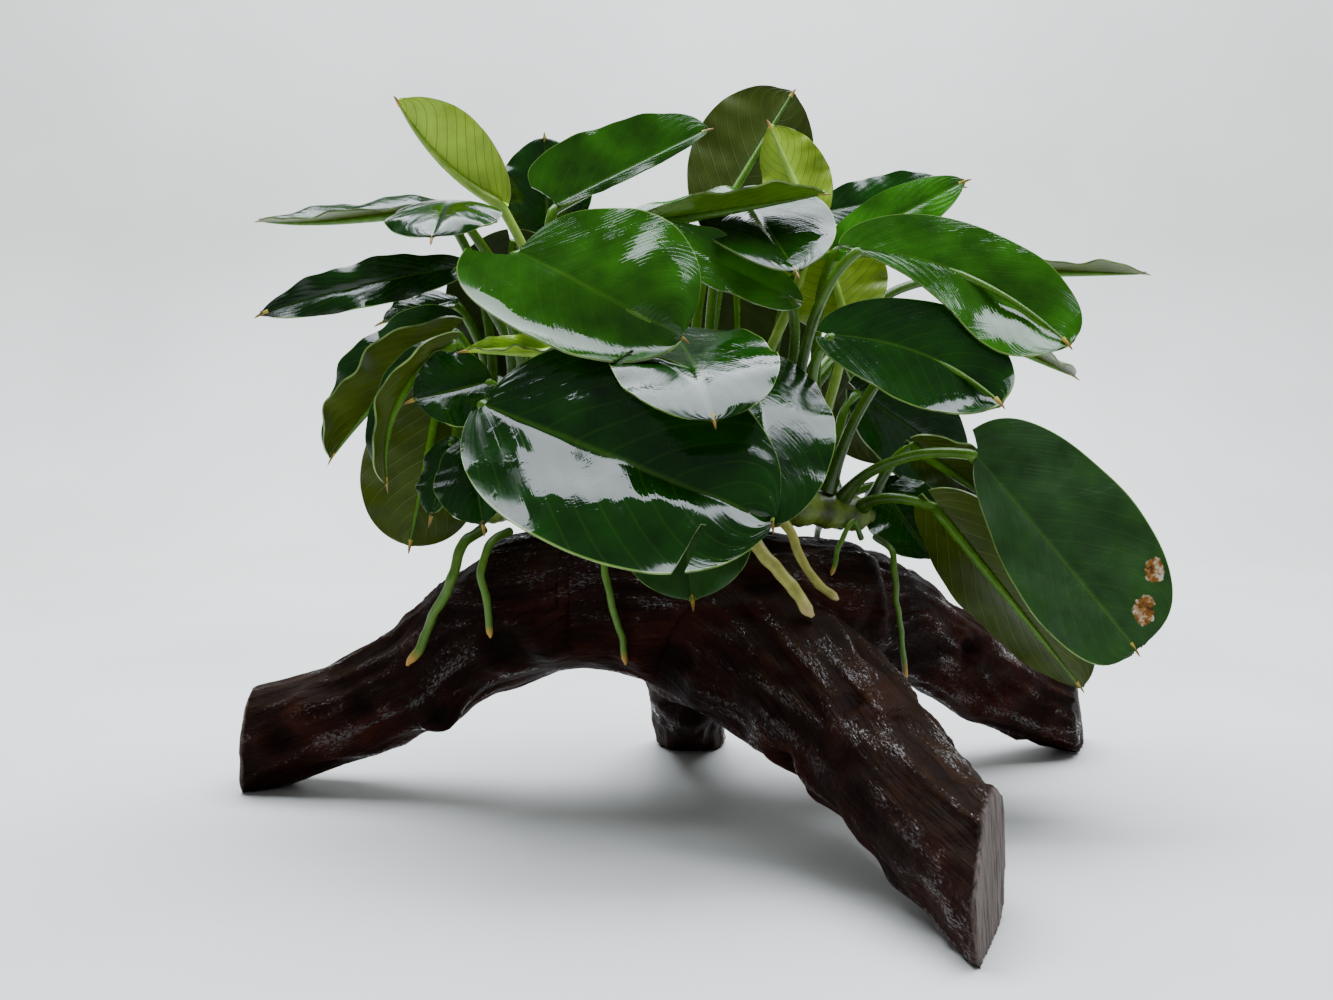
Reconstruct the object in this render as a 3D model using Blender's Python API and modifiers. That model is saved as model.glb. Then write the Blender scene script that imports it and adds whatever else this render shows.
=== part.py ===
"""A dwarf anubias grown on a piece of driftwood that stands on four feet.

Run with: blender --background --python part.py
Lengths in the tables are millimetres. The model is built in metres, +Z up. X runs along
the long side of the wood, and -Y is the front. The soles of the feet lie on Z = 0, and the
origin is on that floor, under the middle of the object.
"""

import math

import bmesh
import bpy
import numpy as np
from mathutils import Matrix, Vector, noise

MM = 0.001
GAP = 0.35
# The tables are drawn from a point between the feet. This moves the middle of the object there.
ORIGIN_SHIFT = np.array((-7.7, 18.0, 0.0))

# Driftwood: each limb is a line of (x, y, z, radius), from the crown outwards.
LIMBS = {
    "crown": [(-44, 6, 54, 16), (-22, 2, 55, 18), (4, 0, 52, 21), (28, 0, 50, 21), (50, 12, 50, 18)],
    "left": [(-22, 2, 55, 18), (-46, 8, 45.5, 17), (-68, 13, 30, 14.5), (-92, 17, 19, 14), (-130, 20, 6.5, 14)],
    "front": [(14, -4, 46, 21), (32, -24, 37, 18.5), (45, -48, 28, 16), (55, -74, 19, 14), (72, -112, 7, 15)],
    "right": [(36, 8, 52, 18), (56, 22, 47, 15.5), (74, 35, 37, 13.5), (98, 48, 20.5, 12), (140, 66, 2.5, 11)],
    "rear": [(10, 6, 46, 19), (8, 30, 34, 15), (7, 50, 20, 12), (7, 72, -6, 10)],
}
# Lumps that stand out of the wood: (x, y, z, radius).
KNOBS = [(-59, 1, 24, 5), (8, 42, 14, 7), (50, -58, 36, 6), (-96, 6, 24, 5), (60, -84, 8, 8), (-30, -12, 46, 7)]
WOOD_VOXEL = 2.6
WOOD_TRIANGLES = 1200
RIDGE_HEIGHT = 1.0
LUMP_HEIGHT = 1.6

# Sawn ends: a point on the cut, and the direction of the side that is cut away.
ENDS = {
    "left": ((-114, 18, 13), (-0.99, -0.06, 0.08)),
    "front": ((66, -91, 15), (0.93, -0.36, 0.05)),
    "right": ((125, 60, 9), (0.93, -0.20, 0.15)),
}
# Forks: a point on the split, the direction that the limb leaves in, and how wide the limb may be.
FORKS = {
    "left": ((-42, 7, 50), (-0.92, 0.10, -0.38), 400),
    "front": ((30, -23, 38), (0.45, -0.83, -0.32), 400),
    "right": ((57, 23, 46), (0.84, 0.42, -0.33), 90),
    "rear": ((8, 24, 36), (-0.05, 0.80, -0.60), 56),
}
BLOCK = 400

# Rhizome: the creeping stem that lies on the crown, as (x, y, z, radius).
RHIZOME = [(-54, 6, 77, 4.0), (-34, 0, 79, 4.8), (-12, -5, 80, 5.0), (12, -5, 79, 5.0),
           (34, -1, 78, 4.8), (54, 6, 75, 4.0)]


def leaf(foot, base, tip, face, width, kind="dark", fold=(8, 8), curl=(0, 0), arch=0, twist=0,
         lobe=0.10, blunt=0.62, via=(0, 0, 0), sway=0.0, droop=0.0, lean=0.0, taper=(0.5, 0.5)):
    """One row of the leaf table.

    foot: share of the rhizome's length, and degrees round it from straight up to the back.
    base, tip: the ends of the blade's midrib. face: where the upper side looks.
    fold, curl: degrees for the side left and right of the midrib, seen from the base with the
    upper side up. + lifts the margin, in a flat plane (fold) or in an arc (curl).
    arch: how far the middle of the midrib is lifted. twist: degrees from base to tip.
    lobe: how far the margins reach back past the base. blunt: small for a blunt tip.
    via: a detour of the stalk. sway: sideways bend of the midrib. droop: how far the last third
    of the midrib is lifted. lean: how much wider the right half is, as a share. taper: small for
    a half that is broad right from the base.
    """
    return dict(foot=foot, base=base, tip=tip, face=face, width=width, kind=kind, fold=fold,
                curl=curl, arch=arch, twist=twist, lobe=lobe, blunt=blunt, via=via, sway=sway,
                droop=droop, lean=lean, taper=taper)


LEAVES = {
    "leaf_top_left_young": leaf(
        (0.28, 10), (-44, 8, 157), (-69, 2, 182), (0.15, 0.85, 0.5), 27, "young", fold=(5, 75),
        curl=(20, 0), sway=3),
    "leaf_far_left_high": leaf(
        (0.06, 40), (-60, 14, 156), (-109, 22, 153.5), (0, -0.25, 1), 20, fold=(15, 15), droop=-2),
    "leaf_left_high_drooping": leaf(
        (0.17, 0), (-54, -2, 156), (-55, -30, 144), (-0.05, -0.4, 0.9), 29, fold=(3, 3), curl=(-14, -14),
        arch=3, via=(7, 0, 0)),
    "leaf_back_left_upright": leaf(
        (0.22, 45), (-33, 35, 151), (-34, 39, 177.5), (-0.1, -0.95, 0.2), 27, via=(0, 7, 0)),
    "leaf_front_left_bright": leaf(
        (0.30, -35), (-34, -36, 140), (3.5, -50, 120), (0.06, -0.90, 0.34), 41, "bright", fold=(1, 1),
        curl=(2, 8), lobe=(0.0, 0.25), taper=(0.5, 0.22), blunt=0.45, lean=-0.12),
    "leaf_top_left_broad": leaf(
        (0.36, 10), (-28.5, 5, 155.5), (10.5, 8, 175), (-0.2, -0.86, 0.47), 18, "bright", fold=(4, -6),
        curl=(12, 8), lobe=(0.08, 0.0), taper=(0.14, 0.5), lean=-0.7, blunt=0.42),
    "leaf_top_back_upright": leaf(
        (0.55, 40), (14, 24, 154), (34.5, 34, 189), (-0.1, 0.97, -0.1), 34, fold=(22, 5), blunt=0.5),
    "leaf_top_young_rolled": leaf(
        (0.66, 5), (37, 4, 152), (27, 10, 176), (0.2, 0.9, 0.3), 19, "young", fold=(20, 20)),
    "leaf_top_middle": leaf(
        (0.58, -5), (20, 5, 158), (31, -24, 136.5), (0, -0.5, 0.85), 34, fold=(10, 10)),
    "leaf_top_boat_shaped": leaf(
        (0.45, -10), (-7, -12, 149.5), (39, -8, 157), (-0.1, -0.2, 1), 19, "bright", fold=(24, 30),
        twist=-10),
    "leaf_middle_narrow": leaf(
        (0.70, -30), (30, -14, 131), (-5, -22, 147.5), (0.51, -0.73, 0.40), 15, "bright", fold=(4, 4)),
    "leaf_top_right": leaf(
        (0.74, 20), (45, 14, 149), (79.5, 27, 161), (-0.2, -0.85, 0.45), 15, fold=(3, 3)),
    "leaf_right_pale_upright": leaf(
        (0.84, 10), (46, 4, 125), (41, 8, 146), (0, 0.95, -0.1), 29, "young", blunt=0.4),
    "leaf_right_bright": leaf(
        (0.83, -14), (47, 1, 145.5), (75, -6, 160.5), (-0.35, -0.80, 0.45), 15, "bright", fold=(4, 10),
        lobe=0.15),
    "leaf_right_large": leaf(
        (0.76, -25), (46.5, -22, 142), (94, -33, 119), (0.06, -0.88, 0.40), 29, "bright", arch=-2.5,
        fold=(2, 2), curl=(-6, 10), blunt=0.5, sway=-7),
    "leaf_right_middle": leaf(
        (0.80, -38), (40, -24, 121.3), (77, -38, 105.5), (-0.09, -0.90, 0.38), 27, arch=-2.5,
        fold=(2, 2), curl=(0, 12), blunt=0.5, sway=-5),
    "leaf_right_small": leaf(
        (0.88, -15), (74, 2, 127), (107.5, 12, 112), (0.1, -0.2, 1), 24, fold=(12, 12)),
    "leaf_far_right_high": leaf(
        (0.87, 22), (82, 26, 141), (131, 29, 140), (0, 0.05, 1), 15, fold=(15, 15), via=(-3, -4, 9)),
    "leaf_low_right_largest": leaf(
        (0.90, -40), (75.5, -20, 92), (111, -35, 47), (0.1, -0.9, 0.4), 39, lobe=(0.10, 0.0),
        taper=(0.32, 0.7), blunt=0.32, fold=(3, 3), curl=(6, 6), lean=-0.2),
    "leaf_low_right_hanging": leaf(
        (0.95, -60), (69, -8, 78), (108, 0, 31), (0.5, 0.6, 0.3), 34, fold=(10, 10)),
    "leaf_right_inner_dark": leaf(
        (0.93, 45), (52, 21, 107), (84, 35, 86), (0.5, -0.8, 0.3), 34),
    "leaf_right_inner_low": leaf(
        (0.93, 88), (58, 17, 82), (70, 8, 64), (0.2, -0.9, 0.3), 22),
    "leaf_right_inner_small": leaf(
        (0.99, -25), (64, -2, 94), (87, 5, 78), (0.3, 0.6, 0.7), 20),
    "leaf_front_largest": leaf(
        (0.23, -60), (-41, -46, 104.9), (22, -69, 80.6), (-0.06, -0.88, 0.46), 51, lobe=(0.0, 0.03),
        taper=(0.4, 0.4), blunt=0.42, fold=(5, 7), via=(4, 0, 6)),
    "leaf_front_middle": leaf(
        (0.48, -40), (1.5, -24.5, 122.2), (10.2, -66, 102), (0, -0.5, 0.8), 38, arch=3, droop=4,
        lobe=0.04, blunt=0.45, curl=(-10, -10)),
    "leaf_front_right_dark": leaf(
        (0.66, -55), (20.5, -15, 115.5), (24, -50, 78), (0.25, -0.85, 0.45), 33, arch=4),
    "leaf_front_lowest": leaf(
        (0.50, -80), (3, -26, 88), (6, -42, 60), (0, -0.85, 0.5), 32, blunt=0.5),
    "leaf_left_low_round": leaf(
        (0.01, 0), (-60, 14, 108), (-68, 10, 67), (-0.3, 0.8, -0.4), 33, blunt=0.45),
    "leaf_left_rolled": leaf(
        (0.13, -40), (-52, -26, 119.5), (-66.5, -31, 86), (-0.7, -0.3, 0.5), 11, arch=6, fold=(55, 55)),
    "leaf_left_arching": leaf(
        (0.05, -12), (-54, -8, 123), (-85.5, -4, 91), (-0.7, -0.1, 0.7), 30, fold=(36, 58), arch=2),
    "leaf_far_left_middle": leaf(
        (0.10, 12), (-53.5, -5, 138.5), (-97.5, -22, 126.5), (0.2, -0.88, 0.41), 12, arch=3,
        via=(6, 0, 0)),
    "leaf_left_small": leaf(
        (0.05, 70), (-57, 16, 131.5), (-74, 10, 126), (-0.2, -0.6, 0.8), 14),
    "leaf_left_inner_dark": leaf(
        (0.19, -34), (-43, -26, 110), (-59, -33, 106), (-0.2, -0.95, 0.2), 20),
    "leaf_young_unrolling": leaf(
        (0.38, -50), (-24, -27, 118), (-46, -36, 117.5), (-0.1, -0.7, 0.7), 7, "young", fold=(45, 45)),
    "leaf_left_low_narrow": leaf(
        (0.03, -50), (-53, -16, 95), (-57, -24, 78), (-0.5, -0.8, 0.3), 13),
    "leaf_front_left_low": leaf(
        (0.10, -80), (-47, -25, 95), (-43, -36, 77), (-0.2, -0.9, 0.3), 20),
    "leaf_back_high_left": leaf(
        (0.25, 55), (-28, 46, 136), (-46, 72, 141), (-0.2, 0.5, 0.8), 32, "bright", via=(0, 10, 0)),
    "leaf_back_high_middle": leaf(
        (0.50, 60), (0, 48, 142), (8, 72, 151), (0, 0.5, 0.8), 34, "bright"),
    "leaf_back_high_right": leaf(
        (0.70, 50), (34, 52, 138), (54, 72, 145), (0.2, 0.5, 0.8), 32, via=(9, 14, 0)),
    "leaf_back_low_left": leaf(
        (0.10, 60), (-49, 33, 111), (-70, 57, 95), (-0.4, 0.6, 0.7), 32),
    "leaf_back_middle_left": leaf(
        (0.35, 85), (-41, 19, 147), (-40, 22, 110), (-0.1, 0.95, 0.3), 38),
    "leaf_back_middle_right": leaf(
        (0.60, 85), (19, 32, 150), (20, 32, 108), (0.05, 0.95, 0.3), 41, blunt=0.4),
    "leaf_back_low_right": leaf(
        (0.83, 78), (50, 43, 119), (66, 55, 86), (0.2, 0.9, 0.35), 36),
    "leaf_back_far_right": leaf(
        (0.77, 48), (56, 24, 124), (88, 46, 120), (0.3, 0.2, 0.9), 26),
}

# Stalks taper a little, and the blade is thickest along the midrib near its base.
STALK_RADIUS = 1.5
STALK_TAPER = 0.85
BLADE_THICKNESS = 1.0
MIDRIB_EXTRA = 1.0
TIP_RADIUS = 0.7
STALK_STATIONS = (0.0, 0.3, 0.6, 0.85)
BLADE_STATIONS = (0.07, 0.22, 0.45, 0.70, 0.90)
SECTION_POINTS = 8

# Roots: the points that each one runs through, in order down from the rhizome, and its radius.
ROOTS = {
    "root_left_long": ([(-47, -2, 72.5), (-51, -8, 69), (-54, -10, 61), (-58, -8, 53), (-62, -6, 45),
                        (-66, -6, 37.5)], 1.3, "green"),
    "root_left_short": ([(-40, -4, 72), (-44, -11, 70), (-46, -15, 63), (-44.5, -15, 54),
                         (-44, -13, 46)], 1.0, "green"),
    "root_front_left": ([(-14, -11, 75), (-15, -19, 71), (-15, -21.5, 63), (-13, -21.5, 55),
                         (-11, -20, 47), (-10, -17.5, 40)], 0.9, "green"),
    "root_front_thick": ([(13, -11, 76), (18, -18, 76), (23, -25, 69), (29, -29, 62),
                          (35, -33, 55)], 1.7, "pale"),
    "root_front_thin": ([(24, -8, 74), (29, -17, 75), (33, -20, 67), (37, -22, 61),
                         (42, -23, 57)], 1.2, "pale"),
    "root_right_fine": ([(50, -2, 70), (47, -8, 75), (43, -11, 68), (41, -14, 62)], 0.7, "green"),
    "root_right_hanging": ([(54, 1, 70), (57, -9, 67), (58, -10, 55), (60, -6, 45),
                            (62, -1, 33)], 0.8, "green"),
    "root_back_left": ([(-22, 6, 77), (-20, 20, 74), (-21, 24, 62), (-23, 24, 48)], 1.1, "green"),
    "root_back_middle": ([(22, 6, 76), (20, 20, 73), (19, 26, 62), (16, 29.5, 54)], 1.2, "pale"),
    "root_back_right": ([(46, 9, 72), (42, 22, 71), (42, 32, 60), (46, 38, 50)], 0.9, "green"),
}
ROOT_SAMPLES = 7

# Colours as sRGB hex, with roughness.
COLOURS = {
    "driftwood": ("2A1712", 0.35),
    "rhizome": ("4E6A24", 0.45),
    "leaf_dark": ("1C4A1E", 0.20),
    "leaf_bright": ("3F7A22", 0.25),
    "leaf_young": ("93B548", 0.35),
    "root_green": ("56702A", 0.45),
    "root_pale": ("A9A654", 0.45),
}


def unit(vector):
    vector = np.asarray(vector, float)
    return vector / np.linalg.norm(vector)


def across(direction, along):
    """The part of a direction that is square to another one, at unit length."""
    return unit(direction - np.dot(direction, along) * along)


def smooth_line(points, samples):
    """Points read from a smooth curve that runs through all the given rows."""
    rows = np.array(points, float)
    padded = np.vstack((2 * rows[0] - rows[1], rows, 2 * rows[-1] - rows[-2]))
    spans = len(rows) - 1
    line = []
    for place in np.linspace(0, spans, samples):
        i = min(int(place), spans - 1)
        t = place - i
        a, b, c, d = padded[i:i + 4]
        line.append(0.5 * (2 * b + (c - a) * t + (2 * a - 5 * b + 4 * c - d) * t ** 2
                           + (3 * b - a - 3 * c + d) * t ** 3))
    return np.array(line)


def rhizome_foot(share, degrees):
    """Where a stalk starts just off the rhizome's bark, and the direction that it leaves in."""
    line = smooth_line(RHIZOME, 60)
    i = min(int(share * 59), 58)
    along = unit(line[i + 1][:3] - line[i][:3])
    up = across(np.array((0.0, 0.0, 1.0)), along)
    back = np.cross(up, along)
    turn = math.radians(degrees)
    outward = up * math.cos(turn) + back * math.sin(turn)
    return line[i][:3] + outward * (line[i][3] + GAP), outward


def blade_half_width(row, t, half):
    """The width of the blade's left (0) or right (1) half at t, from 0 at the base to 1 at the tip."""
    taper = row["taper"][half]
    widest = taper / (taper + row["blunt"])
    full = widest ** taper * (1 - widest) ** row["blunt"]
    return 0.5 * row["width"] * t ** taper * (1 - t) ** row["blunt"] / full


def leaf_lines(row):
    """The midrib and the stalk as functions of 0 to 1, and the direction of the upper side."""
    base = np.array(row["base"], float)
    tip = np.array(row["tip"], float)
    face = across(np.array(row["face"], float), unit(tip - base))
    side = np.cross(unit(tip - base), face)
    foot, outward = rhizome_foot(*row["foot"])
    reach = np.linalg.norm(base - foot)

    def midrib(t):
        bend = face * (row["arch"] + row["droop"] * t) + side * row["sway"]
        return base + (tip - base) * t + bend * 4 * t * (1 - t)

    leave = unit(midrib(0.02) - base)
    arrive = unit(0.55 * unit(base - foot) + 0.45 * leave)
    points = (foot, foot + outward * reach * 0.38, base - arrive * reach * 0.30, base)

    def stalk(t):
        s = 1 - t
        curve = (s ** 3 * points[0] + 3 * s ** 2 * t * points[1] + 3 * s * t ** 2 * points[2]
                 + t ** 3 * points[3])
        return curve + np.array(row["via"], float) * 16 * t ** 2 * s ** 2

    return midrib, stalk, face


def blade_point(row, midrib, face, t, side, depth):
    """A point of the blade. side runs from -1 to 1 across it, depth is below the upper side."""
    length = np.linalg.norm(np.subtract(row["tip"], row["base"]))
    along = unit(midrib(min(t + 0.01, 1.0)) - midrib(max(t - 0.01, 0.0)))
    up = across(face, along)
    right = np.cross(along, up)
    turn = math.radians(row["twist"]) * (t - 0.3)
    up, right = (up * math.cos(turn) + right * math.sin(turn),
                 right * math.cos(turn) - up * math.sin(turn))
    half = 0 if side < 0 else 1
    sign = -1 if side < 0 else 1
    fold = math.radians(row["fold"][half])
    curl = math.radians(row["curl"][half])
    width = blade_half_width(row, t, half) * (1 + sign * row["lean"])
    lobe = np.broadcast_to(row["lobe"], 2)[half]
    reach = abs(side)
    out, lift = width * reach, 0.0
    if curl:
        out = width * math.sin(curl * reach) / curl
        lift = width * (1 - math.cos(curl * reach)) / curl
    out, lift = (out * math.cos(fold) - lift * math.sin(fold),
                 out * math.sin(fold) + lift * math.cos(fold))
    back = lobe * length * reach ** 1.6 * (1 - t) ** 4
    below = up if side == 0 else up * math.cos(fold) - right * sign * math.sin(fold)
    return midrib(t) + right * sign * out + up * lift - along * back - below * depth


def leaf_sections(row):
    """Rings of eight points from the foot of the stalk to the tip of the blade."""
    midrib, stalk, face = leaf_lines(row)
    angles = [2 * math.pi * k / SECTION_POINTS for k in range(SECTION_POINTS)]

    def ring(centre, along, up, radius, flat=1.0, drop=0.0):
        right = np.cross(along, up)
        return [centre + right * radius * math.cos(a) + up * (radius * flat * math.sin(a) - drop)
                for a in angles]

    base_along = unit(midrib(0.02) - midrib(0.0))
    up = across(face, base_along)
    rings = []
    for t in reversed(STALK_STATIONS):
        along = unit(stalk(min(t + 0.02, 1.0)) - stalk(max(t - 0.02, 0.0)))
        up = across(up, along)
        radius = STALK_RADIUS * (1 + (STALK_TAPER - 1) * t)
        rings.insert(0, ring(stalk(t), along, up, radius))
    end_radius = STALK_RADIUS * STALK_TAPER
    rings.append(ring(midrib(0), base_along, across(face, base_along), end_radius, 0.8, 0.3))
    for t in BLADE_STATIONS:
        rim = BLADE_THICKNESS * 0.5
        rib = BLADE_THICKNESS + MIDRIB_EXTRA * (1 - t)
        section = ((1.0, rim), (0.55, 0), (0, 0), (-0.55, 0), (-1.0, rim),
                   (-0.55, BLADE_THICKNESS), (0, rib), (0.55, BLADE_THICKNESS))
        rings.append([blade_point(row, midrib, face, t, side, depth) for side, depth in section])
    tip_along = unit(midrib(1.0) - midrib(0.97))
    rings.append(ring(midrib(1.0), tip_along, across(face, tip_along), TIP_RADIUS, 0.65, 0.45))
    return rings


def loft(name, rings):
    """A closed mesh through rings of equal point counts, in millimetres."""
    mesh = bmesh.new()
    loops = [[mesh.verts.new((Vector(p) + Vector(ORIGIN_SHIFT)) * MM) for p in ring] for ring in rings]
    count = len(rings[0])
    for lower, upper in zip(loops, loops[1:]):
        for k in range(count):
            n = (k + 1) % count
            mesh.faces.new((lower[k], upper[k], upper[n], lower[n]))
    mesh.faces.new(loops[0])
    mesh.faces.new(reversed(loops[-1]))
    bmesh.ops.recalc_face_normals(mesh, faces=mesh.faces)
    data = bpy.data.meshes.new(name)
    mesh.to_mesh(data)
    mesh.free()
    data.shade_smooth()
    data.set_sharp_from_angle(angle=math.radians(60))
    return bpy.data.objects.new(name, data)


def tube(name, line, resolution):
    """A solid tube along rows of (x, y, z, radius), made with a bevelled curve."""
    curve = bpy.data.curves.new(name, "CURVE")
    curve.dimensions = "3D"
    curve.bevel_depth = MM
    curve.bevel_resolution = resolution
    curve.use_fill_caps = True
    spline = curve.splines.new("POLY")
    spline.points.add(len(line) - 1)
    for point, row in zip(spline.points, line):
        point.co = (*((row[:3] + ORIGIN_SHIFT) * MM), 1)
        point.radius = row[3]
    return bpy.data.objects.new(name, curve)


def as_mesh(item, collection):
    """Swap an object for a mesh of what its modifiers and curve settings make."""
    collection.objects.link(item)
    bpy.context.view_layer.update()
    depsgraph = bpy.context.evaluated_depsgraph_get()
    data = bpy.data.meshes.new_from_object(item.evaluated_get(depsgraph))
    name = item.name
    bpy.data.objects.remove(item)
    mesh = bmesh.new()
    mesh.from_mesh(data)
    bmesh.ops.remove_doubles(mesh, verts=mesh.verts, dist=0.00001)
    bmesh.ops.recalc_face_normals(mesh, faces=mesh.faces)
    mesh.to_mesh(data)
    mesh.free()
    data.name = name
    return bpy.data.objects.new(name, data)


def material(name):
    """The Principled material of a kind of piece, made once."""
    if name in bpy.data.materials:
        return bpy.data.materials[name]
    colour, roughness = COLOURS[name]
    made = bpy.data.materials.new(name)
    made.use_nodes = True
    shader = made.node_tree.nodes["Principled BSDF"]
    levels = [int(colour[i:i + 2], 16) / 255 for i in (0, 2, 4)]
    linear = [c / 12.92 if c <= 0.04045 else ((c + 0.055) / 1.055) ** 2.4 for c in levels]
    shader.inputs["Base Color"].default_value = (*linear, 1)
    shader.inputs["Roughness"].default_value = roughness
    made.diffuse_color = (*linear, 1)
    return made


def block(name, point, direction, cutters, width=BLOCK):
    """A large box whose face lies on a cut, on the side that the direction points to."""
    bpy.ops.mesh.primitive_cube_add(size=1)
    box = bpy.context.object
    box.name = name
    away = Vector(direction).normalized()
    centre = Vector(point) + Vector(ORIGIN_SHIFT) + away * BLOCK / 2
    turn = away.to_track_quat("Z", "Y").to_matrix().to_4x4()
    size = Matrix.Diagonal((width * MM, BLOCK * MM, BLOCK * MM, 1))
    box.matrix_world = Matrix.Translation(centre * MM) @ turn @ size
    box.hide_render = True
    box.display_type = "WIRE"
    for holder in list(box.users_collection):
        holder.objects.unlink(box)
    cutters.objects.link(box)
    return box


def cut(item, cutter, operation):
    modifier = item.modifiers.new(cutter.name, "BOOLEAN")
    modifier.operation = operation
    modifier.object = cutter
    modifier.solver = "EXACT"


def roughen(data):
    """Raise soft lumps and long ridges on the wood."""
    points = [vertex.co.copy() for vertex in data.vertices]
    normals = [vertex.normal.copy() for vertex in data.vertices]
    for vertex, point, normal in zip(data.vertices, points, normals):
        place = point / MM
        lump = noise.noise(place / 16)
        ridge = 1 - abs(noise.noise(Vector((place.x / 22, place.y / 11, place.z / 7)))) * 4
        vertex.co = point + normal * (lump * LUMP_HEIGHT + ridge * RIDGE_HEIGHT * 0.5) * MM


def driftwood(parts, cutters):
    """One piece of wood, made whole and then split at its forks."""
    blanks = [as_mesh(tube("blank_" + name, smooth_line(line, 12), 4), cutters)
              for name, line in LIMBS.items()]
    whole = bmesh.new()
    for blank in blanks:
        whole.from_mesh(blank.data)
        bpy.data.objects.remove(blank)
    for x, y, z, radius in KNOBS:
        centre = (Vector((x, y, z)) + Vector(ORIGIN_SHIFT)) * MM
        bmesh.ops.create_icosphere(whole, subdivisions=2, radius=radius * MM,
                                   matrix=Matrix.Translation(centre))
    data = bpy.data.meshes.new("driftwood")
    whole.to_mesh(data)
    whole.free()
    wood = bpy.data.objects.new("driftwood", data)
    remesh = wood.modifiers.new("skin", "REMESH")
    remesh.mode = "VOXEL"
    remesh.voxel_size = WOOD_VOXEL * MM
    blend = wood.modifiers.new("blend", "SMOOTH")
    blend.factor = 0.5
    blend.iterations = 6
    wood = as_mesh(wood, cutters)
    roughen(wood.data)
    thin = wood.modifiers.new("thin", "DECIMATE")
    thin.ratio = WOOD_TRIANGLES / (2 * len(wood.data.polygons))
    thin.use_collapse_triangulate = True
    wood = as_mesh(wood, cutters)
    for name, (point, direction) in ENDS.items():
        cut(wood, block("end_" + name, point, direction, cutters), "DIFFERENCE")
    cut(wood, block("floor", (0, 0, 0), (0, 0, -1), cutters), "DIFFERENCE")
    wood = as_mesh(wood, cutters)

    sides = {}
    limbs = {}
    for name, (point, direction, width) in FORKS.items():
        clear = Vector(point) + Vector(direction).normalized() * GAP
        sides[name] = block("fork_" + name, point, direction, cutters, width)
        limbs[name] = block("limb_" + name, clear, direction, cutters, width)
    titles = {"left": "driftwood_left_leg", "front": "driftwood_front_right_leg",
              "right": "driftwood_back_right_leg", "rear": "driftwood_rear_foot"}
    crown = bpy.data.objects.new("driftwood_crown", wood.data)
    for side in sides.values():
        cut(crown, side, "DIFFERENCE")
    pieces = [crown]
    for name, title in titles.items():
        piece = bpy.data.objects.new(title, wood.data)
        cut(piece, limbs[name], "INTERSECT")
        if name == "rear":
            for other in ("left", "front", "right"):
                cut(piece, sides[other], "DIFFERENCE")
        pieces.append(piece)
    bpy.data.objects.remove(wood)
    for piece in pieces:
        solid = as_mesh(piece, parts)
        solid.data.shade_smooth()
        solid.data.set_sharp_from_angle(angle=math.radians(45))
        finish(solid, "driftwood", parts)


def finish(item, kind, parts):
    item.data.materials.clear()
    item.data.materials.append(material(kind))
    if item.name not in parts.objects:
        parts.objects.link(item)


def new_collection(name):
    collection = bpy.data.collections.new(name)
    bpy.context.scene.collection.children.link(collection)
    return collection


def main():
    for item in list(bpy.data.objects):
        bpy.data.objects.remove(item)
    parts = new_collection("dwarf_anubias_on_driftwood")
    cutters = new_collection("cutters")
    driftwood(parts, cutters)
    stem = as_mesh(tube("rhizome", smooth_line(RHIZOME, 12), 2), parts)
    finish(stem, "rhizome", parts)
    for name, row in LEAVES.items():
        finish(loft(name, leaf_sections(row)), "leaf_" + row["kind"], parts)
    for name, (points, radius, kind) in ROOTS.items():
        line = smooth_line([(*point, radius) for point in points], ROOT_SAMPLES)
        line[-1][3] = radius * 0.6
        finish(as_mesh(tube(name, line, 1), parts), "root_" + kind, parts)


if __name__ == "__main__":
    main()
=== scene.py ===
"""Looks of a dwarf anubias grown on driftwood: wet leaves, roots, stem and water-dark wood.

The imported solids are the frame. Every solid is replaced by a finer piece in the same place.
Lengths in the tables are millimetres from a point between the feet. ORIGIN_SHIFT brings them to
the frame, which is in metres with +Z up.
"""

import math

import bmesh
import bpy
import numpy as np
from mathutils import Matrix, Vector, noise


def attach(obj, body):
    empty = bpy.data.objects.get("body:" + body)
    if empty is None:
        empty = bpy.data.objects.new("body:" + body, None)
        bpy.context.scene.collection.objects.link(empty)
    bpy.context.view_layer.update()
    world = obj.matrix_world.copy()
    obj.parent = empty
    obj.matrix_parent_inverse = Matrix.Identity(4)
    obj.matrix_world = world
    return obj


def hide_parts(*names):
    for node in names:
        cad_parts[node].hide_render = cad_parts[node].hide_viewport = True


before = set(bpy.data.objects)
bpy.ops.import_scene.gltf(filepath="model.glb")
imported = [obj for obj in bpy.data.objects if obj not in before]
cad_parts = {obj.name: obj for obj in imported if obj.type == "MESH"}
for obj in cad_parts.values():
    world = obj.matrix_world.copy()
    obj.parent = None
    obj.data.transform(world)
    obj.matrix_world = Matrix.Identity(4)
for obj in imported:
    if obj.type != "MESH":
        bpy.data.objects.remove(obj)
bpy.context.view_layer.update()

bl_info = {
    "name": "Dwarf Anubias on Driftwood",
    "version": (1, 0, 0),
    "blender": (4, 5, 0),
    "location": "3D View > Sidebar > Anubias",
    "description": "Builds a wet dwarf anubias plant on a piece of driftwood, with its stage",
    "category": "Add Mesh",
}

MM = 0.001
ORIGIN_SHIFT = np.array((-7.7, 18.0, 0.0))

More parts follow.
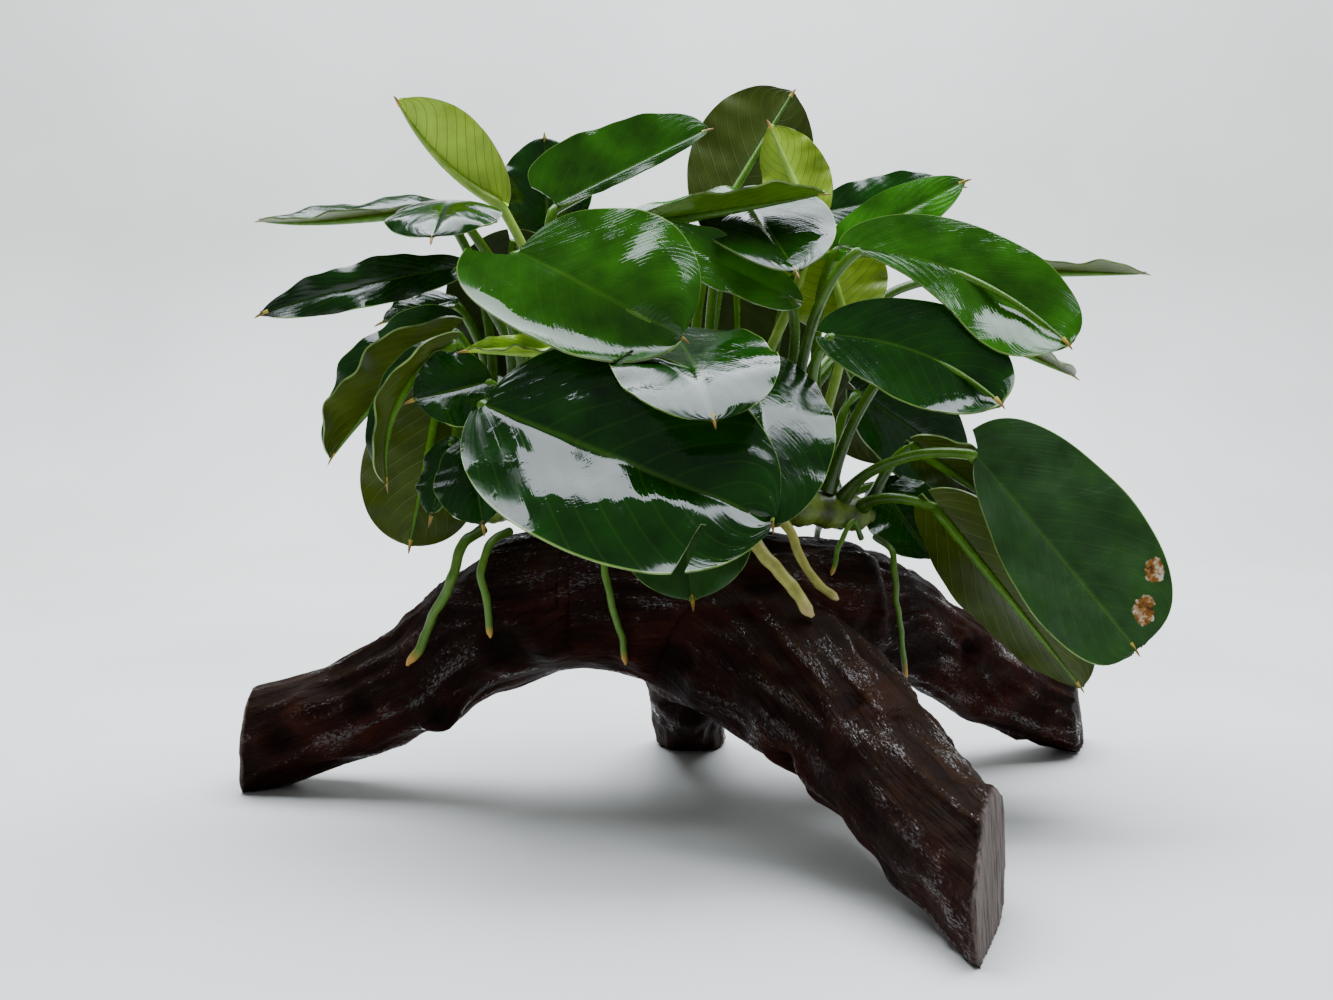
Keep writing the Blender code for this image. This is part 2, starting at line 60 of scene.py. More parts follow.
# Driftwood: each limb is a line of (x, y, z, radius), from the crown outwards.
LIMBS = {
    "crown": [(-44, 6, 54, 16), (-22, 2, 55, 18), (4, 0, 52, 21), (28, 0, 50, 21), (50, 12, 50, 18)],
    "left": [(-22, 2, 55, 18), (-46, 8, 45.5, 17), (-68, 13, 30, 14.5), (-92, 17, 19, 14), (-130, 20, 6.5, 14)],
    "front": [(14, -4, 46, 21), (32, -24, 37, 18.5), (45, -48, 28, 16), (55, -74, 19, 14), (72, -112, 7, 15)],
    "right": [(36, 8, 52, 18), (56, 22, 47, 15.5), (74, 35, 37, 13.5), (98, 48, 20.5, 12), (140, 66, 2.5, 11)],
    "rear": [(10, 6, 46, 19), (8, 30, 34, 15), (7, 50, 20, 12), (7, 72, -6, 10)],
}
# Lumps that stand out of the wood: (x, y, z, radius).
KNOBS = [(-59, 1, 24, 5), (8, 42, 14, 7), (50, -58, 36, 6), (-96, 6, 24, 5), (60, -84, 8, 8), (-30, -12, 46, 7)]
# Knot holes and pits: (x, y, z, radius, depth).
KNOTS = [(-59, -4, 24, 3.2, 2.2), (-80, 0, 26, 3.0, 1.6), (-102, 3, 17, 3.5, 1.8), (6, 30, 22, 6, 4.5),
         (22, -22, 62, 4, 2.5), (2, -18, 42, 6, 3), (40, -58, 40, 3, 1.4), (62, -66, 30, 2.5, 1.5),
         (-42, -10, 44, 4, 2), (84, 26, 36, 3, 1.6), (30, -44, 20, 5, 3)]
COARSE_VOXEL = 2.6
FINE_VOXEL = 0.95
RIDGE_HEIGHT = 1.0
LUMP_HEIGHT = 1.6
LIMB_TITLES = {"crown": "driftwood_crown", "left": "driftwood_left_leg", "front": "driftwood_front_right_leg",
               "right": "driftwood_back_right_leg", "rear": "driftwood_rear_foot"}

# Sawn ends: a point on the cut, and the direction of the side that is cut away.
ENDS = {
    "left": ((-114, 18, 13), (-0.99, -0.06, 0.08)),
    "front": ((66, -91, 15), (0.93, -0.36, 0.05)),
    "right": ((125, 60, 9), (0.93, -0.20, 0.15)),
}

# Rhizome: the creeping stem that lies on the crown, as (x, y, z, radius).
RHIZOME = [(-54, 6, 77, 4.0), (-34, 0, 79, 4.8), (-12, -5, 80, 5.0), (12, -5, 79, 5.0),
           (34, -1, 78, 4.8), (54, 6, 75, 4.0)]
STALK_CLEARANCE = 0.35


def leaf(foot, base, tip, face, width, kind="dark", fold=(8, 8), curl=(0, 0), arch=0, twist=0,
         lobe=0.10, blunt=0.62, via=(0, 0, 0), gull=0.06, ripple=(0.7, 2.3), dents=(), slits=(),
         spur=2.2, tone_and_painted_light=0.0, sway=0.0, droop=0.0,
         lean=0.0, rim=(0, 0), scars=(), lumps=0.55, taper=(0.5, 0.5),
         quilt=0.035, dull=False):
    """One row of the leaf table.

    foot: share of the rhizome's length, and degrees round it from straight up to the back.
    base, tip: the ends of the blade's midrib. face: where the upper side looks.
    fold, curl: degrees for the side left and right of the midrib, seen from the base with the
    upper side up. + lifts the margin, in a flat plane (fold) or in an arc (curl).
    arch: how far the middle of the midrib is lifted. twist: degrees from base to tip.
    lobe: how far the margins reach back past the base. blunt: small for a blunt tip.
    via: a detour of the stalk. gull: how far each half bulges, as a share of its width.
    ripple: height and number of the margin's waves. spur: length of the point at the tip.
    dents: (share of length, side, height, radius) of soft bumps. slits: (share of length, side
    where it starts, opening) of tears from the margin. tone: -1 for darker, up to 3 for paler. Besides a
    leaf's own green, it is painted shade on leaves deep inside the plant and painted light on leaves
    that light shines through or falls on.
    sway: sideways bend of the midrib. droop: how far the last third bends up.
    lean: how much wider the right half is, as a share. rim: lift of each margin.
    scars: (share of length, side, radius) of dead brown patches. lumps: height of broad unevenness.
    taper: small for a half that is broad right from the base. quilt: swelling between the veins.
    dull: True for an old leaf that has lost its shine.
    """
    return dict(foot=foot, base=base, tip=tip, face=face, width=width, kind=kind, fold=fold,
                curl=curl, arch=arch, twist=twist, lobe=lobe, blunt=blunt, via=via, gull=gull,
                ripple=ripple, dents=dents, slits=slits, spur=spur, tone_and_painted_light=tone_and_painted_light, sway=sway, droop=droop,
                lean=lean, rim=rim, scars=scars, lumps=lumps, taper=taper, quilt=quilt,
                dull=dull)


LEAVES = {
    "leaf_top_left_young": leaf(
        (0.28, 10), (-44, 8, 157), (-68, 2, 181), (0.15, 0.85, 0.5), 27, "young", fold=(5, 75),
        curl=(20, 0), blunt=0.5, sway=3, gull=0.03, ripple=(0.4, 2), tone_and_painted_light=0.5),
    "leaf_far_left_high": leaf(
        (0.06, 40), (-60, 14, 156), (-109, 22, 153.5), (0, -0.25, 1), 20, fold=(15, 15), droop=-2),
    "leaf_left_high_drooping": leaf(
        (0.17, 0), (-54, -2, 156), (-55, -30, 144), (-0.05, -0.4, 0.9), 29,
        fold=(3, 3), curl=(-28, -28), arch=2, via=(7, 0, 0), gull=0.03, lumps=0.9),
    "leaf_back_left_upright": leaf(
        (0.22, 45), (-33, 35, 151), (-34, 39, 177.5), (-0.1, -0.95, 0.2), 27, via=(0, 7, 0)),
    "leaf_front_left_bright": leaf(
        (0.30, -35), (-34, -36, 140), (3.5, -50, 120), (0.06, -0.90, 0.34), 41, "bright",
        fold=(1, 1), curl=(2, 8), lobe=(0.0, 0.25), taper=(0.5, 0.22), blunt=0.45, lean=-0.12, gull=0.01,
        rim=(0, 1.3),
        dents=((0.70, -0.42, 3.6, 8.5), (0.90, -0.25, 2.2, 6), (0.78, 0.36, -3.8, 8.5),
               (0.50, 0.50, -2.2, 6.5), (0.30, 0.02, 0.5, 4)),
        slits=((0.80, 0.55, 1.2),), ripple=(0.5, 1.7)),
    "leaf_top_left_broad": leaf(
        (0.36, 10), (-28.5, 5, 155.5), (10.5, 8, 175), (-0.2, -0.86, 0.47), 18, "bright",
        fold=(4, -12), curl=(12, 2), lobe=(0.08, 0.0), taper=(0.14, 0.5), lean=-0.7, blunt=0.42, gull=0.02),
    "leaf_top_back_upright": leaf(
        (0.55, 40), (14, 24, 154), (34.5, 34, 189), (-0.1, 0.97, -0.1), 34, fold=(22, 5), blunt=0.5,
        gull=0.03, tone_and_painted_light=0.1),
    "leaf_top_young_rolled": leaf(
        (0.66, 5), (37, 4, 152), (27, 10, 176), (0.2, 0.9, 0.3), 19, "young", fold=(20, 20)),
    "leaf_top_middle": leaf(
        (0.58, -5), (20, 5, 158), (31, -24, 136.5), (0, -0.5, 0.85), 34, fold=(7, 7), gull=0.015,
        ripple=(0.3, 1.5)),
    "leaf_top_boat_shaped": leaf(
        (0.45, -10), (-7, -12, 149.5), (39, -8, 157), (-0.1, -0.2, 1), 19, "bright", fold=(24, 30),
        twist=-10, tone_and_painted_light=0.6),
    # Its raised tone is painted light that brightens this narrow leaf.
    "leaf_middle_narrow": leaf(
        (0.70, -30), (30, -14, 131), (-5, -22, 147.5), (0.51, -0.80, 0.28), 15, "bright", fold=(4, 4),
        gull=0.02, tone_and_painted_light=1.3),
    "leaf_top_right": leaf(
        (0.74, 20), (43, 14, 155), (80, 27, 163), (-0.2, -0.92, 0.30), 15, fold=(3, 3), gull=0.02,
        tone_and_painted_light=0.8),
    "leaf_right_pale_upright": leaf(
        (0.84, 10), (46, 4, 125), (41, 8, 146), (0, 0.95, -0.1), 29, "young", tone_and_painted_light=-0.55, blunt=0.4),
    # Its high tone is painted light: the glow of a leaf that light shines through from behind.
    "leaf_right_bright": leaf(
        (0.83, -14), (44, 1, 144.5), (74, -6, 160), (-0.35, -0.88, 0.28), 15, "bright", fold=(4, 4),
        lobe=0.15, gull=0.02, ripple=(0.3, 1.5), tone_and_painted_light=2.6),
    "leaf_right_large": leaf(
        (0.76, -25), (46.5, -22, 142), (94, -33, 119), (0.06, -0.88, 0.40), 29, "bright",
        arch=-2.5, fold=(2, 2), curl=(-6, 4), taper=(0.5, 1.3), blunt=0.45, sway=-7, gull=0.01,
        ripple=(0.3, 1.7), tone_and_painted_light=0.15, dents=((0.66, 0.0, -3.0, 8), (0.88, -0.02, -1.6, 6))),
    "leaf_right_middle": leaf(
        (0.80, -38), (40, -24, 121.3), (77, -38, 105.5), (-0.09, -0.90, 0.38), 27,
        arch=-2.5, fold=(2, 2), curl=(0, 10), blunt=0.45, sway=-5, gull=0.01, ripple=(0.3, 1.7),
        tone_and_painted_light=0.5, dents=((0.88, 0.1, -2.6, 7),)),
    "leaf_right_small": leaf(
        (0.88, -15), (74, 2, 127), (107.5, 12, 112), (0.1, -0.2, 1), 24, fold=(12, 12)),
    "leaf_far_right_high": leaf(
        (0.87, 22), (82, 26, 141), (131, 29, 140), (0, 0.05, 1), 15, fold=(15, 15), via=(-3, -4, 9)),
    "leaf_low_right_largest": leaf(
        (0.90, -40), (75.5, -20, 92), (111, -35, 47), (0.1, -0.9, 0.4), 39,
        lobe=(0.10, 0.0), taper=(0.32, 0.7), blunt=0.32, fold=(3, 3), curl=(6, 6), lean=-0.2, gull=0.02,
        ripple=(0.4, 1.5), tone_and_painted_light=0.3, dull=True, scars=((0.90, -0.45, 3.4), (0.80, -0.80, 3.0))),
    "leaf_low_right_hanging": leaf(
        (0.95, -60), (69, -8, 78), (108, 0, 31), (0.5, 0.6, 0.3), 34, fold=(10, 10),
        scars=((0.75, 0.92, 1.6), (0.85, 0.9, 1.3), (0.66, 0.95, 1.2))),
    "leaf_right_inner_dark": leaf(
        (0.93, 45), (52, 21, 107), (84, 35, 86), (0.5, -0.8, 0.3), 34),
    "leaf_right_inner_low": leaf(
        (0.93, 88), (58, 17, 82), (70, 8, 64), (0.2, -0.9, 0.3), 22),
    "leaf_right_inner_small": leaf(
        (0.99, -25), (64, -2, 94), (87, 5, 78), (0.3, 0.6, 0.7), 20),
    "leaf_front_largest": leaf(
        (0.23, -60), (-41, -46, 104.9), (22, -69, 80.6), (-0.06, -0.88, 0.46), 51,
        lobe=(0.0, 0.03), taper=(0.4, 0.4), blunt=0.42, fold=(5, 7), via=(4, 0, 6), gull=0.06,
        rim=(0.2, 1.7),
        dents=((0.42, 0.72, 1.5, 9), (0.66, 0.70, 1.5, 9), (0.84, 0.30, 1.2, 6), (0.88, -0.45, 1.9, 7),
               (0.30, -0.25, 1.2, 5), (0.52, 0.12, 0.7, 4)),
        slits=((0.84, 0.35, 1.6),), ripple=(0.4, 1.6), lumps=1.7, quilt=0.14),
    "leaf_front_middle": leaf(
        (0.48, -40), (1.5, -24.5, 122.2), (10.2, -66, 102), (0, -0.5, 0.8), 38,
        arch=1, droop=4, lobe=0.04, blunt=0.45, curl=(-10, -10), gull=0.02, lumps=0.9),
    "leaf_front_right_dark": leaf(
        (0.66, -55), (20.5, -15, 115.5), (24, -50, 78), (0.25, -0.85, 0.45), 33, arch=4, gull=0.03),
    "leaf_front_lowest": leaf(
        (0.50, -80), (3, -26, 88), (6, -42, 60), (0, -0.85, 0.5), 32, blunt=0.5, tone_and_painted_light=0.5, dull=True),
    "leaf_left_low_round": leaf(
        (0.01, 0), (-60, 14, 108), (-68, 10, 67), (-0.3, 0.8, -0.4), 33, blunt=0.45, gull=0.03),
    "leaf_left_rolled": leaf(
        (0.13, -40), (-52, -26, 119.5), (-66.5, -31, 86), (-0.7, -0.3, 0.5), 11, arch=6, fold=(55, 55)),
    "leaf_left_arching": leaf(
        (0.05, -12), (-54, -8, 123), (-85.5, -4, 91), (-0.7, -0.1, 0.7), 30, fold=(36, 58), arch=2,
        gull=0.04, ripple=(1.2, 2.4)),
    "leaf_far_left_middle": leaf(
        (0.10, 12), (-53.5, -5, 138.5), (-97.5, -22, 126.5), (0.2, -0.93, 0.25), 12, arch=3,
        via=(6, 0, 0), ripple=(1.3, 2.6), tone_and_painted_light=-0.4),
    "leaf_left_small": leaf(
        (0.05, 70), (-57, 16, 131.5), (-74, 10, 126), (-0.2, -0.6, 0.8), 14),
    "leaf_left_inner_dark": leaf(
        (0.19, -34), (-43, -26, 110), (-59, -33, 106), (-0.2, -0.95, 0.2), 20),
    "leaf_young_unrolling": leaf(
        (0.38, -50), (-24, -27, 118), (-46, -36, 117.5), (-0.1, -0.7, 0.7), 7, "young", fold=(45, 45),
        tone_and_painted_light=0.2),
    "leaf_left_low_narrow": leaf(
        (0.03, -50), (-53, -16, 95), (-57, -24, 78), (-0.5, -0.8, 0.3), 13),
    "leaf_front_left_low": leaf(
        (0.10, -80), (-47, -25, 95), (-43, -36, 77), (-0.2, -0.9, 0.3), 20),
    "leaf_back_high_left": leaf(
        (0.25, 55), (-28, 46, 136), (-46, 72, 141), (-0.2, 0.5, 0.8), 32, "bright", via=(0, 10, 0)),
    "leaf_back_high_middle": leaf(
        (0.50, 60), (0, 48, 142), (8, 72, 151), (0, 0.5, 0.8), 34, "bright"),
    "leaf_back_high_right": leaf(
        (0.70, 50), (34, 52, 138), (54, 72, 145), (0.2, 0.5, 0.8), 32, via=(9, 14, 0)),
    "leaf_back_low_left": leaf(
        (0.10, 60), (-49, 33, 111), (-70, 57, 95), (-0.4, 0.6, 0.7), 32),
    # These three back leaves take a low tone: painted shade for the dark inside of the plant.
    "leaf_back_middle_left": leaf(
        (0.35, 85), (-41, 19, 147), (-40, 22, 110), (-0.1, 0.95, 0.3), 38, tone_and_painted_light=-0.8),
    "leaf_back_middle_right": leaf(
        (0.60, 85), (19, 32, 150), (20, 32, 108), (0.05, 0.95, 0.3), 41, tone_and_painted_light=-0.8, blunt=0.4),
    "leaf_back_low_right": leaf(
        (0.83, 78), (50, 43, 119), (66, 55, 86), (0.2, 0.9, 0.35), 36, tone_and_painted_light=-0.6),
    "leaf_back_far_right": leaf(
        (0.77, 48), (56, 24, 124), (88, 46, 120), (0.3, 0.2, 0.9), 26),
}

# Roots: the points that each one runs through, in order down from the rhizome, and its radius.
ROOTS = {
    "root_left_long": ([(-47, -2, 72.5), (-51, -8, 69), (-54, -10, 61), (-58, -8, 53), (-62, -6, 45),
                        (-66, -6, 37.5)], 1.3, "green"),
    "root_left_short": ([(-40, -4, 72), (-44, -11, 70), (-46, -15, 63), (-44.5, -15, 54),
                         (-44, -13, 46)], 1.0, "green"),
    "root_front_left": ([(-14, -11, 75), (-15, -19, 71), (-15, -21.5, 63), (-13, -21.5, 55),
                         (-11, -20, 47), (-10, -17.5, 40)], 0.9, "green"),
    "root_front_thick": ([(13, -11, 76), (18, -18, 76), (23, -25, 69), (29, -29, 62),
                          (35, -33, 55)], 1.7, "pale"),
    "root_front_thin": ([(24, -8, 74), (29, -17, 75), (33, -20, 67), (37, -22, 61),
                         (42, -23, 57)], 1.2, "pale"),
    "root_right_fine": ([(50, -2, 70), (47, -8, 75), (43, -11, 68), (41, -14, 62)], 0.7, "green"),
    "root_right_hanging": ([(54, 1, 70), (57, -9, 67), (58, -10, 55), (60, -6, 45),
                            (62, -1, 33)], 0.8, "green"),
    "root_back_left": ([(-22, 6, 77), (-20, 20, 74), (-21, 24, 62), (-23, 24, 48)], 1.1, "green"),
    "root_back_middle": ([(22, 6, 76), (20, 20, 73), (19, 26, 62), (16, 29.5, 54)], 1.2, "pale"),
    "root_back_right": ([(46, 9, 72), (42, 22, 71), (42, 32, 60), (46, 38, 50)], 0.9, "green"),
}

# Blades
STATIONS = 72
HALF_SIDES = 19
VEINS = 9
VEIN_SLANT = 0.42
SOFT_LUMP_SIZE = 15
GROOVE_DEPTH = 0.15
GROOVE_WIDTH = 0.8

# Stalks
STALK_SAMPLES = 30
STALK_SIDES = 12
RIB_SAMPLES = 24
ROOT_SAMPLES = 60
ROOT_SIDES = 12


def linear(code):
    """The linear colour of an sRGB hex value."""
    levels = [int(code[i:i + 2], 16) / 255 for i in (0, 2, 4)]
    return tuple(c / 12.92 if c <= 0.04045 else ((c + 0.055) / 1.055) ** 2.4 for c in levels) + (1,)


class AnubiasLeafSettings(bpy.types.PropertyGroup):
    """Sizes and colours of the leaves."""

    thickness: bpy.props.FloatProperty(
        name="Blade Thickness", description="Thickness of a leaf blade", default=0.5 * MM, unit="LENGTH")
    stalk_radius: bpy.props.FloatProperty(
        name="Stalk Radius", description="Radius of a leaf stalk at its foot", default=1.5 * MM, unit="LENGTH")
    dark: bpy.props.FloatVectorProperty(
        name="Old Leaf", description="Upper side of a grown leaf", subtype="COLOR", size=4,
        default=linear("0B3104"))
    bright: bpy.props.FloatVectorProperty(
        name="Bright Leaf", description="Upper side of a leaf that is a few weeks old", subtype="COLOR",
        size=4, default=linear("225206"))
    young: bpy.props.FloatVectorProperty(
        name="Young Leaf", description="Upper side of a leaf that has just opened", subtype="COLOR",
        size=4, default=linear("84A820"))
    under: bpy.props.FloatVectorProperty(
        name="Underside", description="Underside of a grown leaf", subtype="COLOR", size=4,
        default=linear("3E4E06"))
    under_young: bpy.props.FloatVectorProperty(
        name="Young Underside", description="Underside of a young leaf", subtype="COLOR", size=4,
        default=linear("A4C832"))
    stalk: bpy.props.FloatVectorProperty(
        name="Stalk", description="Leaf stalks", subtype="COLOR", size=4, default=linear("46700E"))


class AnubiasWoodSettings(bpy.types.PropertyGroup):
    """Sizes and colours of the driftwood."""

    ridge_spacing: bpy.props.FloatProperty(
        name="Ridge Spacing", description="Distance between the long ridges", default=5.5 * MM, unit="LENGTH")
    ridge_height: bpy.props.FloatProperty(
        name="Ridge Height", description="Height of the long ridges", default=1.0 * MM, unit="LENGTH")
    wood: bpy.props.FloatVectorProperty(
        name="Wood", description="Soaked wood", subtype="COLOR", size=4, default=linear("1A0A06"))
    warm: bpy.props.FloatVectorProperty(
        name="Warm Wood", description="Redder stretches of the wood", subtype="COLOR", size=4,
        default=linear("2C1008"))
    algae: bpy.props.FloatVectorProperty(
        name="Algae Film", description="Olive film on the upper side", subtype="COLOR", size=4,
        default=linear("241606"))
    sawn: bpy.props.FloatVectorProperty(
        name="Sawn End", description="Wet sawn faces", subtype="COLOR", size=4, default=linear("6E625C"))


class AnubiasStageSettings(bpy.types.PropertyGroup):
    """Camera, light and floor."""

    lens: bpy.props.FloatProperty(
        name="Focal Length", description="Focal length of the camera in millimetres", default=40.51)
    camera_place: bpy.props.FloatVectorProperty(
        name="Camera Place", description="Where the camera stands", subtype="TRANSLATION",
        default=(-0.0077, -0.367, 0.110), unit="LENGTH")
    camera_dip: bpy.props.FloatProperty(
        name="Camera Dip", description="How far the camera looks down", default=math.radians(4.5),
        subtype="ANGLE")
    sky_power: bpy.props.FloatProperty(
        name="Overhead Power", description="Power of the broad light overhead in watts", default=40.0)
    room_light: bpy.props.FloatProperty(
        name="Room Light", description="Strength of the even light of the room", default=0.27)
    floor: bpy.props.FloatVectorProperty(
        name="Floor", description="Pale floor and backdrop", subtype="COLOR", size=4,
        default=linear("E4E4DE"))


# Shape helpers

def unit(vector):
    vector = np.asarray(vector, float)
    return vector / np.linalg.norm(vector)


def across(direction, along):
    """The part of a direction that is square to another one, at unit length."""
    return unit(direction - np.dot(direction, along) * along)


def smooth_line(points, samples):
    """Points read from a smooth curve that runs through all the given rows."""
    rows = np.array(points, float)
    padded = np.vstack((2 * rows[0] - rows[1], rows, 2 * rows[-1] - rows[-2]))
    spans = len(rows) - 1
    line = []
    for place in np.linspace(0, spans, samples):
        i = min(int(place), spans - 1)
        t = place - i
        a, b, c, d = padded[i:i + 4]
        line.append(0.5 * (2 * b + (c - a) * t + (2 * a - 5 * b + 4 * c - d) * t ** 2
                           + (3 * b - a - 3 * c + d) * t ** 3))
    return np.array(line)


def noise_at(points, size, seed=0.0):
    """Soft noise between about -1 and 1 at points in millimetres, with lumps of the given size."""
    scale = 1 / np.broadcast_to(np.asarray(size, float), (3,))
    return np.array([noise.noise(Vector((p[0] * scale[0] + seed, p[1] * scale[1], p[2] * scale[2])))
                     for p in points])


class Shell:
    """Points, faces and painted values of a piece that is being built, in millimetres."""

    def __init__(self):
        self.points = []
        self.faces = []
        self.slots = []
        self.place = []
        self.scar = []
        self.size = 0

    def add(self, points, faces, slots, place, scar=0.0):
        """Add a closed part. place holds (across, along, vein) for each point, scar 1 where it is dead."""
        self.points.append(np.asarray(points, float))
        self.faces += [tuple(int(v) + self.size for v in face) for face in faces]
        self.slots += list(slots)
        self.place.append(np.asarray(place, float))
        self.scar.append(np.broadcast_to(scar, (len(points),)))
        self.size += len(points)

    def build(self, name, materials, tone_and_painted_light=0.0, sharp=60):
        """Make the object, smooth shaded, with its attributes and materials."""
        points = (np.vstack(self.points) + ORIGIN_SHIFT) * MM
        data = bpy.data.meshes.new(name)
        data.from_pydata(points.tolist(), [], self.faces)
        data.polygons.foreach_set("material_index", self.slots)
        painted = data.attributes.new("place", "FLOAT_VECTOR", "POINT")
        painted.data.foreach_set("vector", np.vstack(self.place).ravel())
        shade = data.attributes.new("tone_and_painted_light", "FLOAT", "POINT")
        shade.data.foreach_set("value", np.full(self.size, tone_and_painted_light))
        dead = data.attributes.new("scar", "FLOAT", "POINT")
        dead.data.foreach_set("value", np.concatenate(self.scar))
        for material in materials:
            data.materials.append(material)
        data.shade_smooth()
        data.set_sharp_from_angle(angle=math.radians(sharp))
        data.update()
        made = bpy.data.objects.new(name, data)
        bpy.context.scene.collection.objects.link(made)
        return made


def tube(shell, line, radii, sides, slot, up=(0, 0, 1), flat=1.0, across_value=0.0, start=0.0, end=1.0):
    """A closed round tube along a line, added to a shell. The along value runs from start to end."""
    line = np.asarray(line, float)
    radii = np.broadcast_to(np.asarray(radii, float), (len(line),))
    tangents = np.gradient(line, axis=0)
    angles = np.linspace(0, 2 * math.pi, sides, endpoint=False)
    points = []
    place = []
    guide = np.asarray(up, float)
    for i, (centre, tangent, radius) in enumerate(zip(line, tangents, radii)):
        along = unit(tangent)
        guide = across(guide, along)
        right = np.cross(along, guide)
        points.append(centre + radius * (np.outer(np.cos(angles), right)
                                         + flat * np.outer(np.sin(angles), guide)))
        share = start + (end - start) * i / (len(line) - 1)
        place += [(across_value + math.cos(a), share, share * VEINS) for a in angles]
    points = np.vstack(points)
    faces = []
    for i in range(len(line) - 1):
        for k in range(sides):
            n = (k + 1) % sides
            faces.append((i * sides + k, i * sides + n, (i + 1) * sides + n, (i + 1) * sides + k))
    faces.append(tuple(reversed(range(sides))))
    faces.append(tuple(range((len(line) - 1) * sides, len(line) * sides)))
    shell.add(points, faces, [slot] * len(faces), place)


def as_mesh(item):
    """Swap an object for one with the mesh that its modifiers make."""
    bpy.context.scene.collection.objects.link(item)
    bpy.context.view_layer.update()
    depsgraph = bpy.context.evaluated_depsgraph_get()
    data = bpy.data.meshes.new_from_object(item.evaluated_get(depsgraph))
    name = item.name
    bpy.data.objects.remove(item)
    return bpy.data.objects.new(name, data)


def place_piece(piece, slot, *nodes):
    """Let a piece stand for its solids and move with them."""
    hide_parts(*nodes)
    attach(piece, "root")


# Leaf shapes

def rhizome_foot(share, degrees):
    """Where a stalk starts just off the rhizome's bark, and the direction that it leaves in."""
    line = smooth_line(RHIZOME, 60)
    i = min(int(share * 59), 58)
    along = unit(line[i + 1][:3] - line[i][:3])
    up = across(np.array((0.0, 0.0, 1.0)), along)
    back = np.cross(up, along)
    turn = math.radians(degrees)
    outward = up * math.cos(turn) + back * math.sin(turn)
    return line[i][:3] + outward * (line[i][3] + STALK_CLEARANCE), outward


def blade_half_width(row, t, half=1):
    """The width of the blade's left (0) or right (1) half at t, from 0 at the base to 1 at the tip."""
    taper = row["taper"][half]
    widest = taper / (taper + row["blunt"])
    full = widest ** taper * (1 - widest) ** row["blunt"]
    return 0.5 * row["width"] * t ** taper * (1 - t) ** row["blunt"] / full


def leaf_lines(row):
    """The midrib and the stalk as functions of 0 to 1, and the direction of the upper side."""
    base = np.array(row["base"], float)
    tip = np.array(row["tip"], float)
    face = across(np.array(row["face"], float), unit(tip - base))
    side = np.cross(unit(tip - base), face)
    foot, outward = rhizome_foot(*row["foot"])
    reach = np.linalg.norm(base - foot)

    def midrib(t):
        bend = face * row["arch"] + side * row["sway"]
        return base + (tip - base) * t + bend * 4 * t * (1 - t) + face * row["droop"] * 4 * t ** 2 * (1 - t)

    leave = unit(midrib(0.02) - base)
    arrive = unit(0.55 * unit(base - foot) + 0.45 * leave)
    points = (foot, foot + outward * reach * 0.38, base - arrive * reach * 0.30, base)

    def stalk(t):
        s = 1 - t
        curve = (s ** 3 * points[0] + 3 * s ** 2 * t * points[1] + 3 * s * t ** 2 * points[2]
                 + t ** 3 * points[3])
        return curve + np.array(row["via"], float) * 16 * t ** 2 * s ** 2

    return midrib, stalk, face


def blade_axes(row, midrib, face, t):
    """Along, up and right of the blade at t."""
    along = unit(midrib(min(t + 0.01, 1.0)) - midrib(max(t - 0.01, 0.0)))
    up = across(face, along)
    right = np.cross(along, up)
    turn = math.radians(row["twist"]) * (t - 0.3)
    return (along, up * math.cos(turn) + right * math.sin(turn),
            right * math.cos(turn) - up * math.sin(turn))


def blade_surface(row, stations, sides):
    """Points of the upper side before its fine relief, as stations by sides by 3."""
    midrib, stalk, face = leaf_lines(row)
    length = np.linalg.norm(np.subtract(row["tip"], row["base"]))
    reach = np.abs(sides)
    half = (sides > 0).astype(int)
    sign = np.where(sides < 0, -1.0, 1.0)
    fold = np.radians(np.array(row["fold"], float))[half]
    curl = np.radians(np.array(row["curl"], float))[half]
    curl = np.where(np.abs(curl) < 0.001, 0.001, curl)
    share = 1 + sign * row["lean"]
    lobe = np.broadcast_to(row["lobe"], 2)[half]
    surface = []
    for t in stations:
        along, up, right = blade_axes(row, midrib, face, t)
        width = np.array((blade_half_width(row, t, 0), blade_half_width(row, t, 1)))[half] * share
        flat = width * np.sin(curl * reach) / curl
        rise = width * (1 - np.cos(curl * reach)) / curl + row["gull"] * width * 4 * reach * (1 - reach)
        out = flat * np.cos(fold) - rise * np.sin(fold)
        lift = flat * np.sin(fold) + rise * np.cos(fold)
        back = lobe * length * reach ** 1.6 * (1 - t) ** 4
        surface.append(midrib(t) + np.outer(sign * out, right) + np.outer(lift, up) - np.outer(back, along))
    return np.array(surface)


def surface_normals(surface):
    """Unit normals of a grid of points, on its upper side."""
    lengthwise = np.gradient(surface, axis=0)
    sideways = np.gradient(surface, axis=1)
    normals = np.cross(sideways, lengthwise)
    return normals / np.maximum(np.linalg.norm(normals, axis=2, keepdims=True), 1e-9)


